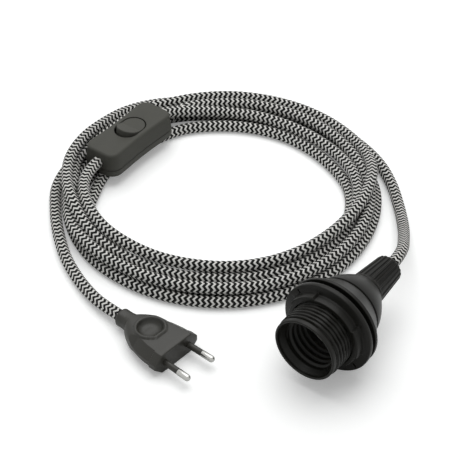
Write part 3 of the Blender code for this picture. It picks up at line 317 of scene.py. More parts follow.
# %% A socket that can be reckoned with
class Signal:
    """The output of a node, as a number in an expression."""

    def __init__(self, graph, socket):
        self.graph = graph
        self.socket = socket

    def maths(self, operation, first, second=0.0):
        return self.graph.node("ShaderNodeMath", {"operation": operation}, {0: first, 1: second})

    def __add__(self, other):
        return self.maths("ADD", self, other)

    def __radd__(self, other):
        return self.maths("ADD", other, self)

    def __sub__(self, other):
        return self.maths("SUBTRACT", self, other)

    def __rsub__(self, other):
        return self.maths("SUBTRACT", other, self)

    def __mul__(self, other):
        return self.maths("MULTIPLY", self, other)

    def __rmul__(self, other):
        return self.maths("MULTIPLY", other, self)

    def __truediv__(self, other):
        return self.maths("DIVIDE", self, other)

    def __rtruediv__(self, other):
        return self.maths("DIVIDE", other, self)

    def __lt__(self, other):
        return self.maths("LESS_THAN", self, other)

    def __gt__(self, other):
        return self.maths("GREATER_THAN", self, other)

    def __abs__(self):
        return self.maths("ABSOLUTE", self)

    def fraction(self):
        return self.maths("FRACT", self)

    def sine(self):
        return self.maths("SINE", self)

    def larger(self, other):
        return self.maths("MAXIMUM", self, other)


print("operators", sorted(name for name in vars(Signal) if name.startswith("__") and name != "__init__"))

# %% [markdown]
# Every other node is made by one method, which first sets the node's own settings and then its sockets, because
# some settings change which sockets a node has. A finish is such a graph with a Principled shader at its end:
# what changes over the surface is fed to a socket, and what doesn't is held at a value.

# %% A graph of nodes, and a finish
class Graph:
    """A node tree, and the one way to add a node to it."""

    def __init__(self, tree):
        self.tree = tree

    def node(self, kind, settings, values, out=0):
        made = self.tree.nodes.new(kind)
        for key, value in settings.items():
            setattr(made, key, value)
        for key, value in values.items():
            if isinstance(value, Signal):
                self.tree.links.new(value.socket, made.inputs[key])
            else:
                made.inputs[key].default_value = value
        return Signal(self, made.outputs[out])


class Finish(Graph):
    """A material under construction: its Principled shader and the nodes that feed it."""

    def __init__(self, name, colour, roughness, metallic=0.0):
        self.material = bpy.data.materials.new(name)
        self.material.use_nodes = True
        super().__init__(self.material.node_tree)
        self.shader = self.tree.nodes["Principled BSDF"]
        self.hold("Base Color", (*colour, 1.0))
        self.hold("Roughness", roughness)
        self.hold("Metallic", metallic)

    def hold(self, socket, value):
        self.shader.inputs[socket].default_value = value

    def feed(self, socket, signal):
        self.tree.links.new(signal.socket, self.shader.inputs[socket])

    def mix(self, share, first, second):
        """A colour between two, by a share from 0 to 1."""
        colours = [c if isinstance(c, Signal) else (*c, 1.0) for c in (first, second)]
        return self.node("ShaderNodeMix", {"data_type": "RGBA"}, {0: share, 6: colours[0], 7: colours[1]}, 2)

    def noise(self, size, detail=2.0):
        """Soft random values whose patches are about this many metres wide."""
        here = self.node("ShaderNodeTexCoord", {}, {}, "Object")
        return self.node("ShaderNodeTexNoise", {}, {"Vector": here, "Scale": 1 / size, "Detail": detail}, "Fac")

    def relief(self, height, depth, strength=1.0):
        """Bumps of the given depth in metres, from a height between 0 and 1."""
        values = {"Height": height, "Distance": depth, "Strength": strength}
        self.feed("Normal", self.node("ShaderNodeBump", {}, values, "Normal"))


print("a finish can", sorted(name for name in vars(Finish) if not name.startswith("__")))

# %% [markdown]
# ## Braided textile
# The sleeve is braided from black and white yarn in a zigzag: going round the cord the bands swing to and fro six
# times, and along it they repeat every 3.35 mm. Real yarns could be modelled one by one, at millions of faces; a
# pattern in the material looks the same at this size. Each point of the tube knows its place round and along the
# braid, so the zigzag is one sum: the place along, plus a triangle wave of the place round, divided by the
# pitch. Where its fraction is small the yarn is white. The same sum, run faster, gives the single yarns their
# relief.

# %% The braid
BRAID_PITCH = 3.35
BRAID_SWING = 0.8
BRAID_WHITE = 0.41
BRAID_WANDER = 0.5
ZIGZAGS = 6
YARNS_A_BAND = 4
YARN_DEPTH = 0.0003

textile = Finish("textile_braid", (0.3, 0.3, 0.29), 0.9)
place = textile.node("ShaderNodeAttribute", {"attribute_name": "braid_place"}, {}, "Vector")
parts = textile.node("ShaderNodeSeparateXYZ", {}, {0: place}, "X")
across, up, along = [Signal(textile, parts.socket.node.outputs[key]) for key in "XYZ"]
turn = textile.node("ShaderNodeMath", {"operation": "ARCTAN2"}, {0: up, 1: across}) / (2 * math.pi)
zigzag = along + BRAID_SWING * (2 * abs(2 * (turn * ZIGZAGS).fraction() - 1) - 1)
wander = textile.noise(0.0012) - 0.5
white = ((zigzag + BRAID_WANDER * wander) / BRAID_PITCH).fraction() < BRAID_WHITE
print("zigzag", len(textile.tree.nodes), "nodes")

# %% [markdown]
# The two yarns differ in tone from thread to thread. Fine noise mixes each between a darker and a lighter tone,
# and the white one also gets a painted highlight on the crown of each yarn, with painted shade in the grooves
# between yarns. Cotton has next to no gloss, so its mirror level is low.

# %% Yarn colours with painted crown highlights, and relief
yarn = abs((zigzag * (math.pi * YARNS_A_BAND / BRAID_PITCH)).sine())
across_yarn = abs((turn * (math.pi * ZIGZAGS * YARNS_A_BAND)).sine())
fuzz = textile.noise(0.0004)
dark_yarn = textile.mix(fuzz, (0.008, 0.008, 0.008), (0.022, 0.022, 0.021))
# The white yarn's colour is partly its own random tone (fuzz) and partly painted light: a painted highlight on
# each yarn's crown and painted shade between yarns.
pale_yarn_with_painted_crowns = textile.mix(fuzz * 0.6 + yarn * 0.4, (0.56, 0.55, 0.53), (0.82, 0.82, 0.79))
textile.feed("Base Color", textile.mix(white, dark_yarn, pale_yarn_with_painted_crowns))
textile.relief(yarn * 0.6 + across_yarn * 0.2 + fuzz * 0.2, YARN_DEPTH, 0.8)
textile.hold("Sheen Weight", 0.03)
textile.hold("Specular IOR Level", 0.08)
for piece in (plug_side_cord, lamp_side_cord):
    piece.data.materials.append(textile.material)
print("braid", len(textile.tree.nodes), "nodes")

# %% [markdown]
# ## Moulded plastics
# The holder, the switch and the plug are all injection moulded, in three near-blacks. One flat colour would do
# from afar, but a moulded face is never quite even: it has a fine spark-eroded grain, a slow drift in tone where
# the melt flowed, and a gloss that changes a little with both. One recipe with a few numbers serves all three.

# %% Plastics
def moulded(name, colour, roughness, grain, grain_depth, gloss):
    """A grained plastic: colour, mean roughness, the grain's size and depth in metres, and its mirror level."""
    finish = Finish(name, colour, roughness)
    drift = finish.noise(0.012)
    fine = finish.noise(grain, 3.0)
    low = [c * 0.82 for c in colour]
    high = [c * 1.16 for c in colour]
    finish.feed("Base Color", finish.mix(drift * 0.7 + fine * 0.3, low, high))
    finish.feed("Roughness", roughness - 0.07 + 0.10 * drift + 0.06 * fine)
    finish.relief(fine, grain_depth, 0.6)
    finish.hold("Specular IOR Level", gloss)
    return finish.material


HOLDER_BLACK = moulded("holder_plastic", (0.0078, 0.0077, 0.0061), 0.34, 0.0003, 0.00002, 0.17)
SWITCH_GREY = moulded("switch_plastic", (0.061, 0.061, 0.0525), 0.54, 0.00035, 0.00004, 0.17)
PLUG_GREY = moulded("plug_plastic", (0.0255, 0.0250, 0.0205), 0.40, 0.0004, 0.00003, 0.34)
INSULATOR = moulded("insulator_plastic", (0.62, 0.60, 0.54), 0.5, 0.0004, 0.00002, 0.5)
print("plastics", [made.name for made in (HOLDER_BLACK, SWITCH_GREY, PLUG_GREY, INSULATOR)])

# %% [markdown]
# The plug's pins are nickel plated, the contacts are brass and the screws are zinc-plated steel. A perfect mirror
# would look like glass here, so each metal has faint scratches and a slight tarnish that dull it in patches.

# %% Metals
def plated(name, colour, roughness, scratch):
    """A bright metal with faint scratches and a slight tarnish."""
    finish = Finish(name, colour, roughness, 1.0)
    tarnish = finish.noise(0.004)
    marks = finish.noise(scratch, 4.0)
    finish.feed("Base Color", finish.mix(tarnish, [c * 0.86 for c in colour], colour))
    finish.feed("Roughness", roughness - 0.04 + 0.10 * marks + 0.04 * tarnish)
    finish.relief(marks, 0.00001, 0.3)
    return finish.material


NICKEL = plated("pin_plating", (0.50, 0.50, 0.48), 0.22, 0.0002)
BRASS = plated("contact_brass", (0.55, 0.40, 0.16), 0.3, 0.0003)
STEEL = plated("screw_plating", (0.5, 0.5, 0.5), 0.34, 0.0003)
print("metals", [made.name for made in (NICKEL, BRASS, STEEL)])

# %% [markdown]
# ## Turned shapes
# The lamp holder is a stack of round pieces on one axis. A round piece is a profile of radii and heights carried
# round the axis. A screw modifier could do that, but here the radius may also depend on the angle, which turns
# plain ridges into real screw threads: the crest's height is a function of how far the place has climbed, less
# one pitch for each full turn.

# %% Profiles, fillets and threads
HOLDER_AXIS = Matrix.Translation((0, -0.0420, 0.0284)) @ Matrix.Rotation(-math.pi / 2, 4, "X")
THREAD_RUN_OUT = 0.0008


def circle_of(steps):
    return np.linspace(0, 2 * math.pi, steps, endpoint=False)


def filleted(profile, radius):
    """A closed profile with each corner rounded off by up to this radius, four points to a corner."""
    points = np.array(profile, float)
    soft = []
    for k, corner in enumerate(points):
        before, after = points[k - 1] - corner, points[(k + 1) % len(points)] - corner
        reach = min(radius, 0.45 * np.linalg.norm(before), 0.45 * np.linalg.norm(after))
        start = corner + before / np.linalg.norm(before) * reach
        end = corner + after / np.linalg.norm(after) * reach
        for t in (0, 1 / 3, 2 / 3, 1):
            soft.append((1 - t) ** 2 * start + 2 * t * (1 - t) * corner + t**2 * end)
    return soft


def turned(profile, steps):
    """Rings for a profile of (radius, height): one ring of angles for each profile point."""
    return np.array([[(r * math.cos(a), r * math.sin(a), z) for a in circle_of(steps)] for r, z in profile])


def wavy_ring(radius, z, angles):
    """One ring whose radius may differ from angle to angle."""
    return np.stack([radius * np.cos(angles), radius * np.sin(angles), np.full_like(angles, z)], axis=1)


def thread_ring(z, angles, root, crest, pitch, start, end):
    """One ring of a screw thread whose crest climbs one pitch a turn and dies out at both ends."""
    fade = min(1, max(0, (z - start) / THREAD_RUN_OUT), max(0, (end - z) / THREAD_RUN_OUT))
    wave = 0.5 + 0.85 * np.cos(2 * math.pi * (z / pitch - angles / (2 * math.pi)))
    return wavy_ring(root + (crest - root) * np.clip(wave, 0, 1) * fade, z, angles)


print("a filleted square has", len(filleted([(0, 0), (1, 0), (1, 1), (0, 1)], 0.1)), "points")

# %% [markdown]
# ## The socket body
# The body is a tube with a wide band behind it. Outside, its front carries the thread for the ring that clamps
# a shade; inside, behind a flared mouth, it carries the round thread that takes the bulb. All of it is one skin,
# as the real moulding is: five stretches of profile are joined end to end, and the two threads are rows of
# wavy rings among them. Cutting the threads with a boolean would leave ragged edges.

# %% Socket body sizes
BARREL_R, BARREL_LENGTH, BARREL_IN_R = 0.0188, 0.0276, 0.0170
LIP_R, LIP_LENGTH, LIP_HEIGHT = 0.0194, 0.0034, 0.0006
MOUTH_R, FLARE_R, FLARE_DEPTH = 0.0180, 0.0158, 0.0052
BULB_THREAD_R, BULB_WELL, SLEEVE_OUT_R, SLEEVE_FRONT = 0.0135, 0.0232, 0.0162, 0.0090
BAND_R, BAND_END, BAND_STEP, BAND_LIP, BAND_WALL = 0.0281, 0.0413, 0.0005, 0.0020, 0.0028
DOME_R, DOME_LENGTH, DOME_TOP_R = 0.0202, 0.0170, 0.0114
SPIGOT_R, SPIGOT_END, COUNTERBORE_R = 0.0172, 0.0453, 0.0157
SHADE_PITCH, SHADE_CREST, SHADE_THREAD_BACK, SHADE_THREAD_END = 0.0026, 0.0011, 0.0270, 0.0268
BULB_PITCH, BULB_CREST, BULB_THREAD_END, BULB_EASE = 0.0036, 0.0012, 0.0222, 0.010
THREAD_ROW, BODY_STEPS = 0.0002, 144
print("barrel", 2000 * BARREL_R, "mm across, band", 2000 * BAND_R, "mm")

# %% [markdown]
# A filleted profile has four points to a corner, so a slice leaves out whole corners: those that only lead the
# stretch in and out, and that the next stretch takes over.

# %% Socket body
behind = filleted([
    (COUNTERBORE_R, SPIGOT_END), (SPIGOT_R, SPIGOT_END), (SPIGOT_R, BAND_END), (DOME_R - BAND_STEP, BAND_END),
    (DOME_R, BAND_END - BAND_STEP), (BAND_R - 2 * BAND_STEP, BARREL_LENGTH + BAND_LIP + BAND_STEP),
    (BAND_R, BARREL_LENGTH + BAND_LIP), (BAND_R, BARREL_LENGTH), (BARREL_R, BARREL_LENGTH), (BARREL_R, 0.0),
    (COUNTERBORE_R, 0.0),
], 0.0004)[:-8]
lip = filleted([
    (BARREL_R, LIP_LENGTH + 0.001), (BARREL_R, LIP_LENGTH), (LIP_R, LIP_LENGTH - LIP_HEIGHT),
    (LIP_R, 0), (MOUTH_R, 0), (MOUTH_R - 0.0002, 0.0016), (FLARE_R, FLARE_DEPTH), (FLARE_R, FLARE_DEPTH + 0.001),
], 0.0006)[4:-4]
inside = filleted([
    (BULB_THREAD_R, BULB_WELL - 0.001), (BULB_THREAD_R, BULB_WELL), (SLEEVE_OUT_R, BULB_WELL),
    (SLEEVE_OUT_R, SLEEVE_FRONT), (BARREL_IN_R, FLARE_DEPTH + 0.0010), (BARREL_IN_R, BARREL_LENGTH + BAND_LIP),
    (BAND_R - BAND_WALL, BARREL_LENGTH + BAND_LIP), (COUNTERBORE_R, BAND_END),
], 0.0003)[4:-4]
angles = circle_of(BODY_STEPS)
shade_thread = [thread_ring(z, angles, BARREL_R, BARREL_R + SHADE_CREST, SHADE_PITCH, LIP_LENGTH, SHADE_THREAD_END)
                for z in np.arange(SHADE_THREAD_BACK, LIP_LENGTH + THREAD_ROW, -THREAD_ROW)]
bulb_thread = []
for z in np.arange(FLARE_DEPTH + BULB_CREST, BULB_WELL - 0.001, THREAD_ROW):
    root = BULB_THREAD_R + (FLARE_R - BULB_THREAD_R) * math.exp(-(z - FLARE_DEPTH) / BULB_EASE)
    bulb_thread.append(thread_ring(z, angles, root, root - BULB_CREST, BULB_PITCH, FLARE_DEPTH, BULB_THREAD_END))
rings = [*turned(behind, BODY_STEPS), *shade_thread, *turned(lip, BODY_STEPS), *bulb_thread,
         *turned(inside, BODY_STEPS)]
socket_shell = add_piece("socket_shell", rings, "light", ["socket_body"], HOLDER_AXIS,
                         closed_along=True, capped=False, degrees=50)
socket_shell.data.materials.append(HOLDER_BLACK)

# %% [markdown]
# ## The dome
# Behind the band a tapered cap screws on and closes the holder. Its outside is one gentle curve, so its profile
# is a power of the way up it, which needs no drawn curve, and its hem and top have small radii. It is hollow, with
# a wall like the real moulding's, so that nothing inside it shows through.

# %% Dome
DOME_START, NIPPLE_R, DOME_GAP, DOME_HEM, DOME_WALL = 0.0416, 0.0049, 0.0003, 0.0004, 0.0026
DOME_TOP = DOME_START + DOME_LENGTH


def dome_radius(share):
    return DOME_R - (DOME_R - DOME_TOP_R) * share**1.5


outline = [(NIPPLE_R + DOME_GAP, DOME_TOP), (dome_radius(1) - 0.0006, DOME_TOP)]
outline += [(dome_radius(0.97), DOME_TOP - 0.0005)]
outline += [(dome_radius(k / 24), DOME_START + k / 24 * DOME_LENGTH) for k in range(22, 0, -1)]
outline += [(DOME_R, DOME_START + DOME_HEM), (DOME_R - DOME_HEM, DOME_START), (SPIGOT_R + DOME_GAP, DOME_START)]
outline += [(SPIGOT_R + DOME_GAP, DOME_START + 0.0043), (0.0150, DOME_START + 0.008)]
outline += [(0.0110, DOME_TOP - DOME_WALL), (NIPPLE_R + DOME_GAP, DOME_TOP - DOME_WALL)]
dome_shell = add_piece("dome_shell", turned(outline, 128), "light", ["dome_cap"], HOLDER_AXIS,
                       closed_along=True, capped=False)
dome_shell.data.materials.append(HOLDER_BLACK)

# %% [markdown]
# ## The ribbed gland
# The nut at the back squeezes a collet on the cord. Fingers turn it, so it has twenty ribs along it. The ribs
# could be an array of small blocks joined to a cone, but a wave in the radius makes them in one skin, and it can
# fade out before both ends, where the nut is plain and rounded.

# %% Gland
GLAND_START, GLAND_LENGTH, GLAND_BASE_R, GLAND_END_R, GLAND_BORE = 0.0589, 0.0251, 0.0109, 0.0086, 0.0039
GLAND_RIBS, RIB_DEPTH, GLAND_ROUND = 20, 0.0008, 0.0014
POCKET_R, POCKET_DEPTH, GRIP_R, GRIP_DEPTH = 0.0094, 0.0025, 0.0062, 0.0183
GLAND_END = GLAND_START + GLAND_LENGTH
fine = circle_of(240)


def gland_ring(r, z, depth=0.0):
    wave = np.clip(0.5 + 1.1 * np.cos(GLAND_RIBS * fine), 0, 1)
    return wavy_ring(r - depth * (1 - wave), z, fine)


rings = [gland_ring(GLAND_BORE, GLAND_END - 0.001), gland_ring(GLAND_BORE, GLAND_END - 0.0002),
         gland_ring(GLAND_BORE + 0.0003, GLAND_END), gland_ring(GLAND_END_R - GLAND_ROUND, GLAND_END)]
for share in (0.25, 0.5, 0.75, 1.0):
    angle = share * math.pi / 2
    rings.append(gland_ring(GLAND_END_R - GLAND_ROUND + GLAND_ROUND * math.sin(angle),
                            GLAND_END - GLAND_ROUND + GLAND_ROUND * math.cos(angle), 0.0007 * share))
for share in np.linspace(0.96, 0.08, 16):
    rings.append(gland_ring(GLAND_END_R + (GLAND_BASE_R - GLAND_END_R) * (1 - share),
                            GLAND_START + share * (GLAND_LENGTH - GLAND_ROUND),
                            RIB_DEPTH * min(1, (share - 0.06) / 0.03)))
for r, up in ((GLAND_BASE_R, 0.0012), (GLAND_BASE_R, 0.0006), (GLAND_BASE_R, 0.0001), (GLAND_BASE_R - 0.0002, 0),
              (POCKET_R, 0), (POCKET_R, POCKET_DEPTH), (GRIP_R, POCKET_DEPTH), (GRIP_R, GRIP_DEPTH),
              (GLAND_BORE, GRIP_DEPTH)):
    rings.append(gland_ring(r, GLAND_START + up))
gland_shell = add_piece("gland_shell", rings, "light", ["cable_gland"], HOLDER_AXIS,
                        closed_along=True, capped=False)
gland_shell.data.materials.append(HOLDER_BLACK)

# %% [markdown]
# ## The shade ring
# A lampshade's collar is clamped between the band and this ring, which screws along the barrel. It has a flat
# flange, a collar in front of it and three grip lugs, each a little wider than an eighth of the way round. The
# lugs could be separate blocks, but the real ring is one moulding, so they are a step in the collar's radius. Only
# the two small slots in the flange are cut, with a box.

# %% Shade ring
RING_R, RING_BORE_R, RING_BACK, RING_FRONT = 0.0284, 0.02025, 0.0248, 0.0217
COLLAR_R, COLLAR_DEPTH = 0.02245, 0.0053
LUG_HEIGHT, LUG_WIDTH, LUG_MIDDLE, LUG_SLOPE = 0.0014, math.radians(47), math.radians(110.5), math.radians(1.5)
fine = circle_of(360)
lug_step = 2 * math.pi / 3
from_middle = np.abs((fine - LUG_MIDDLE + lug_step / 2) % lug_step - lug_step / 2)
lug = np.clip((LUG_WIDTH / 2 - from_middle) / LUG_SLOPE + 0.5, 0, 1)
front = RING_FRONT - COLLAR_DEPTH
plain_rows = [(RING_BORE_R, RING_BACK), (RING_R - 0.0006, RING_BACK), (RING_R - 0.0002, RING_BACK - 0.0002),
              (RING_R, RING_BACK - 0.0006), (RING_R, RING_FRONT + 0.0006), (RING_R - 0.0002, RING_FRONT + 0.0002),
              (RING_R - 0.0006, RING_FRONT)]
lug_rows = [(COLLAR_R + 0.0014, RING_FRONT), (COLLAR_R + 0.0004, RING_FRONT - 0.0004),
            (COLLAR_R, RING_FRONT - 0.0014), (COLLAR_R, front + 0.0007), (COLLAR_R - 0.0002, front + 0.0002),
            (COLLAR_R - 0.0007, front)]
bore_rows = [(RING_BORE_R + 0.0002, front), (RING_BORE_R, front + 0.0002)]
rings = [wavy_ring(r + 0 * fine, z, fine) for r, z in plain_rows]
rings += [wavy_ring(r + LUG_HEIGHT * lug, z, fine) for r, z in lug_rows]
rings += [wavy_ring(r + 0 * fine, z, fine) for r, z in bore_rows]
shade_nut = add_piece("shade_nut", rings, "ring_nut", ["shade_ring"], HOLDER_AXIS,
                      closed_along=True, capped=False, degrees=32)

# %% Slots in the shade ring
SLOT_IN, SLOT_OUT, SLOT_HALF, SLOT_ANGLE = 0.0243, 0.0271, 0.0005, math.radians(41.5)
corners = [(SLOT_IN, -SLOT_HALF), (SLOT_OUT, -SLOT_HALF), (SLOT_OUT, SLOT_HALF), (SLOT_IN, SLOT_HALF)]
box = [[(x, y, z) for x, y in corners] for z in (0.0200, 0.0260)]
turns = [Matrix.Rotation(SLOT_ANGLE + half_turn * math.pi, 4, "Z") for half_turn in (0, 1)]
carve(shade_nut, [cutter_from(box, HOLDER_AXIS @ spin) for spin in turns], 32)
shade_nut.data.materials.append(HOLDER_BLACK)

# %% [markdown]
# ## The switch
# The switch is two shells, parted by a thin joint. Seen from above its outline is a rounded oblong whose long
# sides draw in a little, and its cover slopes inwards and ends in a soft edge. A bevelled block would give the
# same corner everywhere, while outlines with their own inset let the slope and the edge differ. Points of
# different outlines are paired by shooting the same rays at each of them from the middle of the rocker.

# %% Outlines for the switch
SWITCH_FRAME = Matrix.Translation((-0.2058, 0.0566, 0.0075)) @ Matrix.Rotation(math.pi / 2, 4, "Z")
SWITCH_LENGTH, SWITCH_WIDTH, SWITCH_CORNER, SWITCH_WAIST = 0.0620, 0.0268, 0.0075, 0.0009
SWITCH_TOP, BASE_TOP, COVER_START, WALL = 0.0160, 0.0046, 0.0049, 0.0018
OPENING_LENGTH, OPENING_WIDTH, ROCKER_OFFSET = 0.0226, 0.0162, 0.0015
OUTLINE_STEP = 0.0004


def oblong(length, width, corner, inset, waist=0.0):
    """A dense closed outline of a rounded oblong, set in by an inset."""
    half = np.array((length / 2 - inset, width / 2 - inset))
    radius = min(max(corner - inset, corner / 4), *half)
    points = []
    for turn_number, (side_x, side_y) in enumerate(((1, 1), (-1, 1), (-1, -1), (1, -1))):
        middle = (side_x * (half[0] - radius), side_y * (half[1] - radius))
        for k in range(25):
            angle = math.pi / 2 * (turn_number + k / 24)
            points.append((middle[0] + radius * math.cos(angle), middle[1] + radius * math.sin(angle)))
    points = np.array(points + points[:1])
    dense = []
    for start, end in zip(points, points[1:]):
        steps = max(1, round(np.linalg.norm(end - start) / OUTLINE_STEP))
        dense += [start + (end - start) * k / steps for k in range(steps)]
    dense = np.array(dense)
    pull = waist * np.cos(math.pi * dense[:, 0] / length) ** 2
    dense[:, 1] -= np.copysign(pull, dense[:, 1])
    return dense


def seen_from(outline, centre, directions):
    """Where rays from a centre cross an outline, one point for each direction."""
    away = outline - centre
    angle = np.arctan2(away[:, 1], away[:, 0])
    order = np.argsort(angle)
    reach = np.interp(directions, angle[order], np.linalg.norm(away, axis=1)[order], period=2 * math.pi)
    return centre + np.stack([reach * np.cos(directions), reach * np.sin(directions)], axis=1)


middle = np.array((ROCKER_OFFSET, 0.0))
rim = oblong(SWITCH_LENGTH, SWITCH_WIDTH, SWITCH_CORNER, 0.0) - middle
rays = np.unwrap(np.arctan2(rim[:, 1], rim[:, 0]))
rays = np.interp(np.linspace(0, len(rays) - 1, 240, endpoint=False), np.arange(len(rays)), rays)
print("rays", len(rays), "over an outline of", len(rim), "points")

# %% [markdown]
# The cover is one closed skin: up the outside, over the edge, across the top to the rocker's opening, and back
# down inside the walls. The base is a tray under it, and the gap between them is the joint seen on the real
# switch. The cord enters through a round bore at each end, half in the cover and half in the base, so both are cut
# with the same round bar.

# %% Switch cover and base
DRAFT, EDGE = 0.0011, 0.0019
CORD_BORE_R, CORD_LEVEL, BORE_ENDS = CORD_R + 0.0003, 0.0080, (0.0285, 0.0330)


def shell_ring(inset, z):
    outline = oblong(SWITCH_LENGTH, SWITCH_WIDTH, SWITCH_CORNER, inset, SWITCH_WAIST)
    points = seen_from(outline, middle, rays)
    return np.column_stack([points, np.full(len(points), z)])


def opening_ring(grow, z):
    outline = oblong(OPENING_LENGTH + 2 * grow, OPENING_WIDTH + 2 * grow, OPENING_WIDTH / 2 + grow, 0.0)
    points = seen_from(outline, np.zeros(2), rays) + middle
    return np.column_stack([points, np.full(len(points), z)])


rings = [shell_ring(0.0003, COVER_START), shell_ring(0.0, COVER_START + 0.0003)]
rings += [shell_ring(DRAFT, SWITCH_TOP - EDGE)]
for k in range(1, 9):
    angle = k / 8 * math.pi / 2
    rings.append(shell_ring(DRAFT + EDGE * (1 - math.cos(angle)), SWITCH_TOP - EDGE * (1 - math.sin(angle))))
rings += [opening_ring(0.0004, SWITCH_TOP), opening_ring(0.0001, SWITCH_TOP - 0.0001)]
rings += [opening_ring(0.0, SWITCH_TOP - 0.0004), opening_ring(0.0, SWITCH_TOP - WALL)]
rings += [shell_ring(WALL + DRAFT, SWITCH_TOP - WALL), shell_ring(WALL, COVER_START)]
cover_shell = add_piece("cover_shell", rings, "light", ["switch_cover"], SWITCH_FRAME,
                        closed_along=True, capped=False, degrees=30)
rings = [shell_ring(0.0011, 0.0), shell_ring(0.0003, 0.0003), shell_ring(0.0, 0.0010), shell_ring(0.0, 0.0043)]
rings += [shell_ring(0.0003, BASE_TOP), shell_ring(WALL, BASE_TOP), shell_ring(WALL, 0.0040)]
base_shell = add_piece("base_shell", rings, "light", ["switch_base"], SWITCH_FRAME, degrees=30)
circle = circle_of(32)
for piece in (cover_shell, base_shell):
    bores = [[[(side * x, CORD_BORE_R * math.cos(a), CORD_LEVEL + CORD_BORE_R * math.sin(a)) for a in circle]
              for x in BORE_ENDS] for side in (-1, 1)]
    carve(piece, [cutter_from(bore, SWITCH_FRAME) for bore in bores], 30)
    piece.data.materials.append(SWITCH_GREY)

# %% [markdown]
# ## The rocker
# The rocker is a stadium whose top is a shallow valley: pressing one half lowers it and lifts the other. It
# stands tilted on its pivot, so one end is proud of the cover and shows its side. Two tilted faces would need a
# cut and a bevel; here the top is a set of rings that shrink to the middle, with their heights read from the
# valley. The rocker rides on its own body, so that it tilts with the joint.

# %% Rocker
ROCKER_TILT = math.radians(9.5)
ROCKER_AXIS = SWITCH_FRAME @ Matrix.Translation((ROCKER_OFFSET, 0, 0.0120)) @ Matrix.Rotation(ROCKER_TILT, 4, "Y")
PIVOT_DEPTH, SKIRT, ROCKER_PLAY, ROCKER_ROUND, VALLEY_ROUND = 0.0040, 0.0035, 0.0005, 0.0007, 0.0005
ROCKER_WIDTH = OPENING_WIDTH - 2 * ROCKER_PLAY
reach = (OPENING_LENGTH / 2 - ROCKER_PLAY - PIVOT_DEPTH * math.sin(ROCKER_TILT)) / (
    math.cos(ROCKER_TILT) + math.tan(ROCKER_TILT) * math.sin(ROCKER_TILT))
stadium = oblong(2 * reach, ROCKER_WIDTH, ROCKER_WIDTH / 2, 0.0)
stadium = stadium[np.linspace(0, len(stadium), 120, endpoint=False).astype(int)]


def valley(x):
    """Height of the rocker's top: two slopes that meet in a soft bottom."""
    return PIVOT_DEPTH + math.tan(ROCKER_TILT) * (np.sqrt(x**2 + VALLEY_ROUND**2) - VALLEY_ROUND)


def rocker_ring(shrink, drop):
    points = stadium * shrink
    return np.column_stack([points, valley(points[:, 0]) - drop])


rings = [np.column_stack([stadium * 0.97, np.full(len(stadium), -SKIRT)])]
rings.append(np.column_stack([stadium, np.full(len(stadium), 0.0004 - SKIRT)]))
for k in range(6):
    angle = k / 5 * math.pi / 2
    shrink = 1 - ROCKER_ROUND * (1 - math.cos(angle)) / reach
    rings.append(rocker_ring(shrink, ROCKER_ROUND * (1 - math.sin(angle))))
rings += [rocker_ring(share, 0) for share in (0.9, 0.8, 0.65, 0.5, 0.35, 0.2, 0.08)]
rocker_key = add_piece("rocker_key", rings, "rocker", ["switch_rocker"], ROCKER_AXIS, degrees=35)
rocker_key.data.materials.append(SWITCH_GREY)

# %% [markdown]
# ## The plug
# The plug is one moulding: a neck round the cord, a body that widens to a chamfered block, and on its top a
# dished finger rest inside a raised lip. Its cross-section is a superellipse with its corners cut, and every
# size of it is a function of the way along. A subdivided box could be pulled into this shape by hand; a formula
# gives the same smooth flare with sizes that can be read.

# %% Sections of the plug
PLUG_FRAME = Matrix.Translation((-0.0668, -0.0686, 0.00685)) @ Matrix.Rotation(math.radians(-5), 4, "Z")
PLUG_LENGTH, NECK_R, NECK_LENGTH = 0.0442, 0.0053, 0.0072
PLUG_HALF_WIDTH, PLUG_HALF_HEIGHT, BLOCK_LENGTH, SHOULDER, CHAMFER = 0.01725, 0.00685, 0.0060, 0.0008, 0.0055
NECK_SQUARE, BODY_SQUARE, BLOCK_SQUARE = 2.3, 3.0, 5.4
PLUG_STEPS = 160
round_plug = (np.arange(PLUG_STEPS) + 0.5) / PLUG_STEPS * 2 * math.pi


def plug_section(half_width, half_height, square, cut, x):
    """A superellipse across the plug, with its four corners cut off."""
    across = half_width * np.sign(np.cos(round_plug)) * np.abs(np.cos(round_plug)) ** (2 / square)
    up = half_height * np.sign(np.sin(round_plug)) * np.abs(np.sin(round_plug)) ** (2 / square)
    shrink = np.minimum(1, (half_width + half_height - cut) / (np.abs(across) + np.abs(up)))
    return np.stack([np.full(PLUG_STEPS, x), shrink * across, shrink * up], axis=1)


waist = NECK_LENGTH - PLUG_LENGTH
wide = PLUG_HALF_WIDTH - SHOULDER
rings = [plug_section(NECK_R * 0.80, NECK_R * 0.78, NECK_SQUARE, 0, -PLUG_LENGTH),
         plug_section(NECK_R * 0.93, NECK_R * 0.90, NECK_SQUARE, 0, 0.0003 - PLUG_LENGTH)]
rings += [plug_section(NECK_R, NECK_R * 0.97, NECK_SQUARE, 0, x)
          for x in np.linspace(0.0010 - PLUG_LENGTH, waist - 0.0014, 8)]
for share in np.linspace(0, 1, 80) ** 1.15:
    grow = math.sin(share * math.pi / 2) ** 0.66
    width = NECK_R * 1.12 + (wide - NECK_R * 1.12) * grow
    height = NECK_R * 1.05 + (PLUG_HALF_HEIGHT - NECK_R * 1.05) * min(1, 2.2 * share)
    x = waist + (-BLOCK_LENGTH - waist) * (0.06 + 0.94 * share)
    rings.append(plug_section(width, height, NECK_SQUARE + BODY_SQUARE * share, CHAMFER * min(1, 2 * share), x))
for grow, drop, x in ((0.0003, 0, -0.0059), (0.0007, 0, -0.0057), (0.0008, 0, -0.0052), (0.0008, 0, -0.003),
                      (0.0008, 0, -0.0008), (0.0006, 0.0002, -0.0003), (0.0002, 0.0006, 0.0)):
    rings.append(plug_section(wide + grow, PLUG_HALF_HEIGHT - drop, BLOCK_SQUARE, CHAMFER, x))
print("plug", len(rings), "sections")

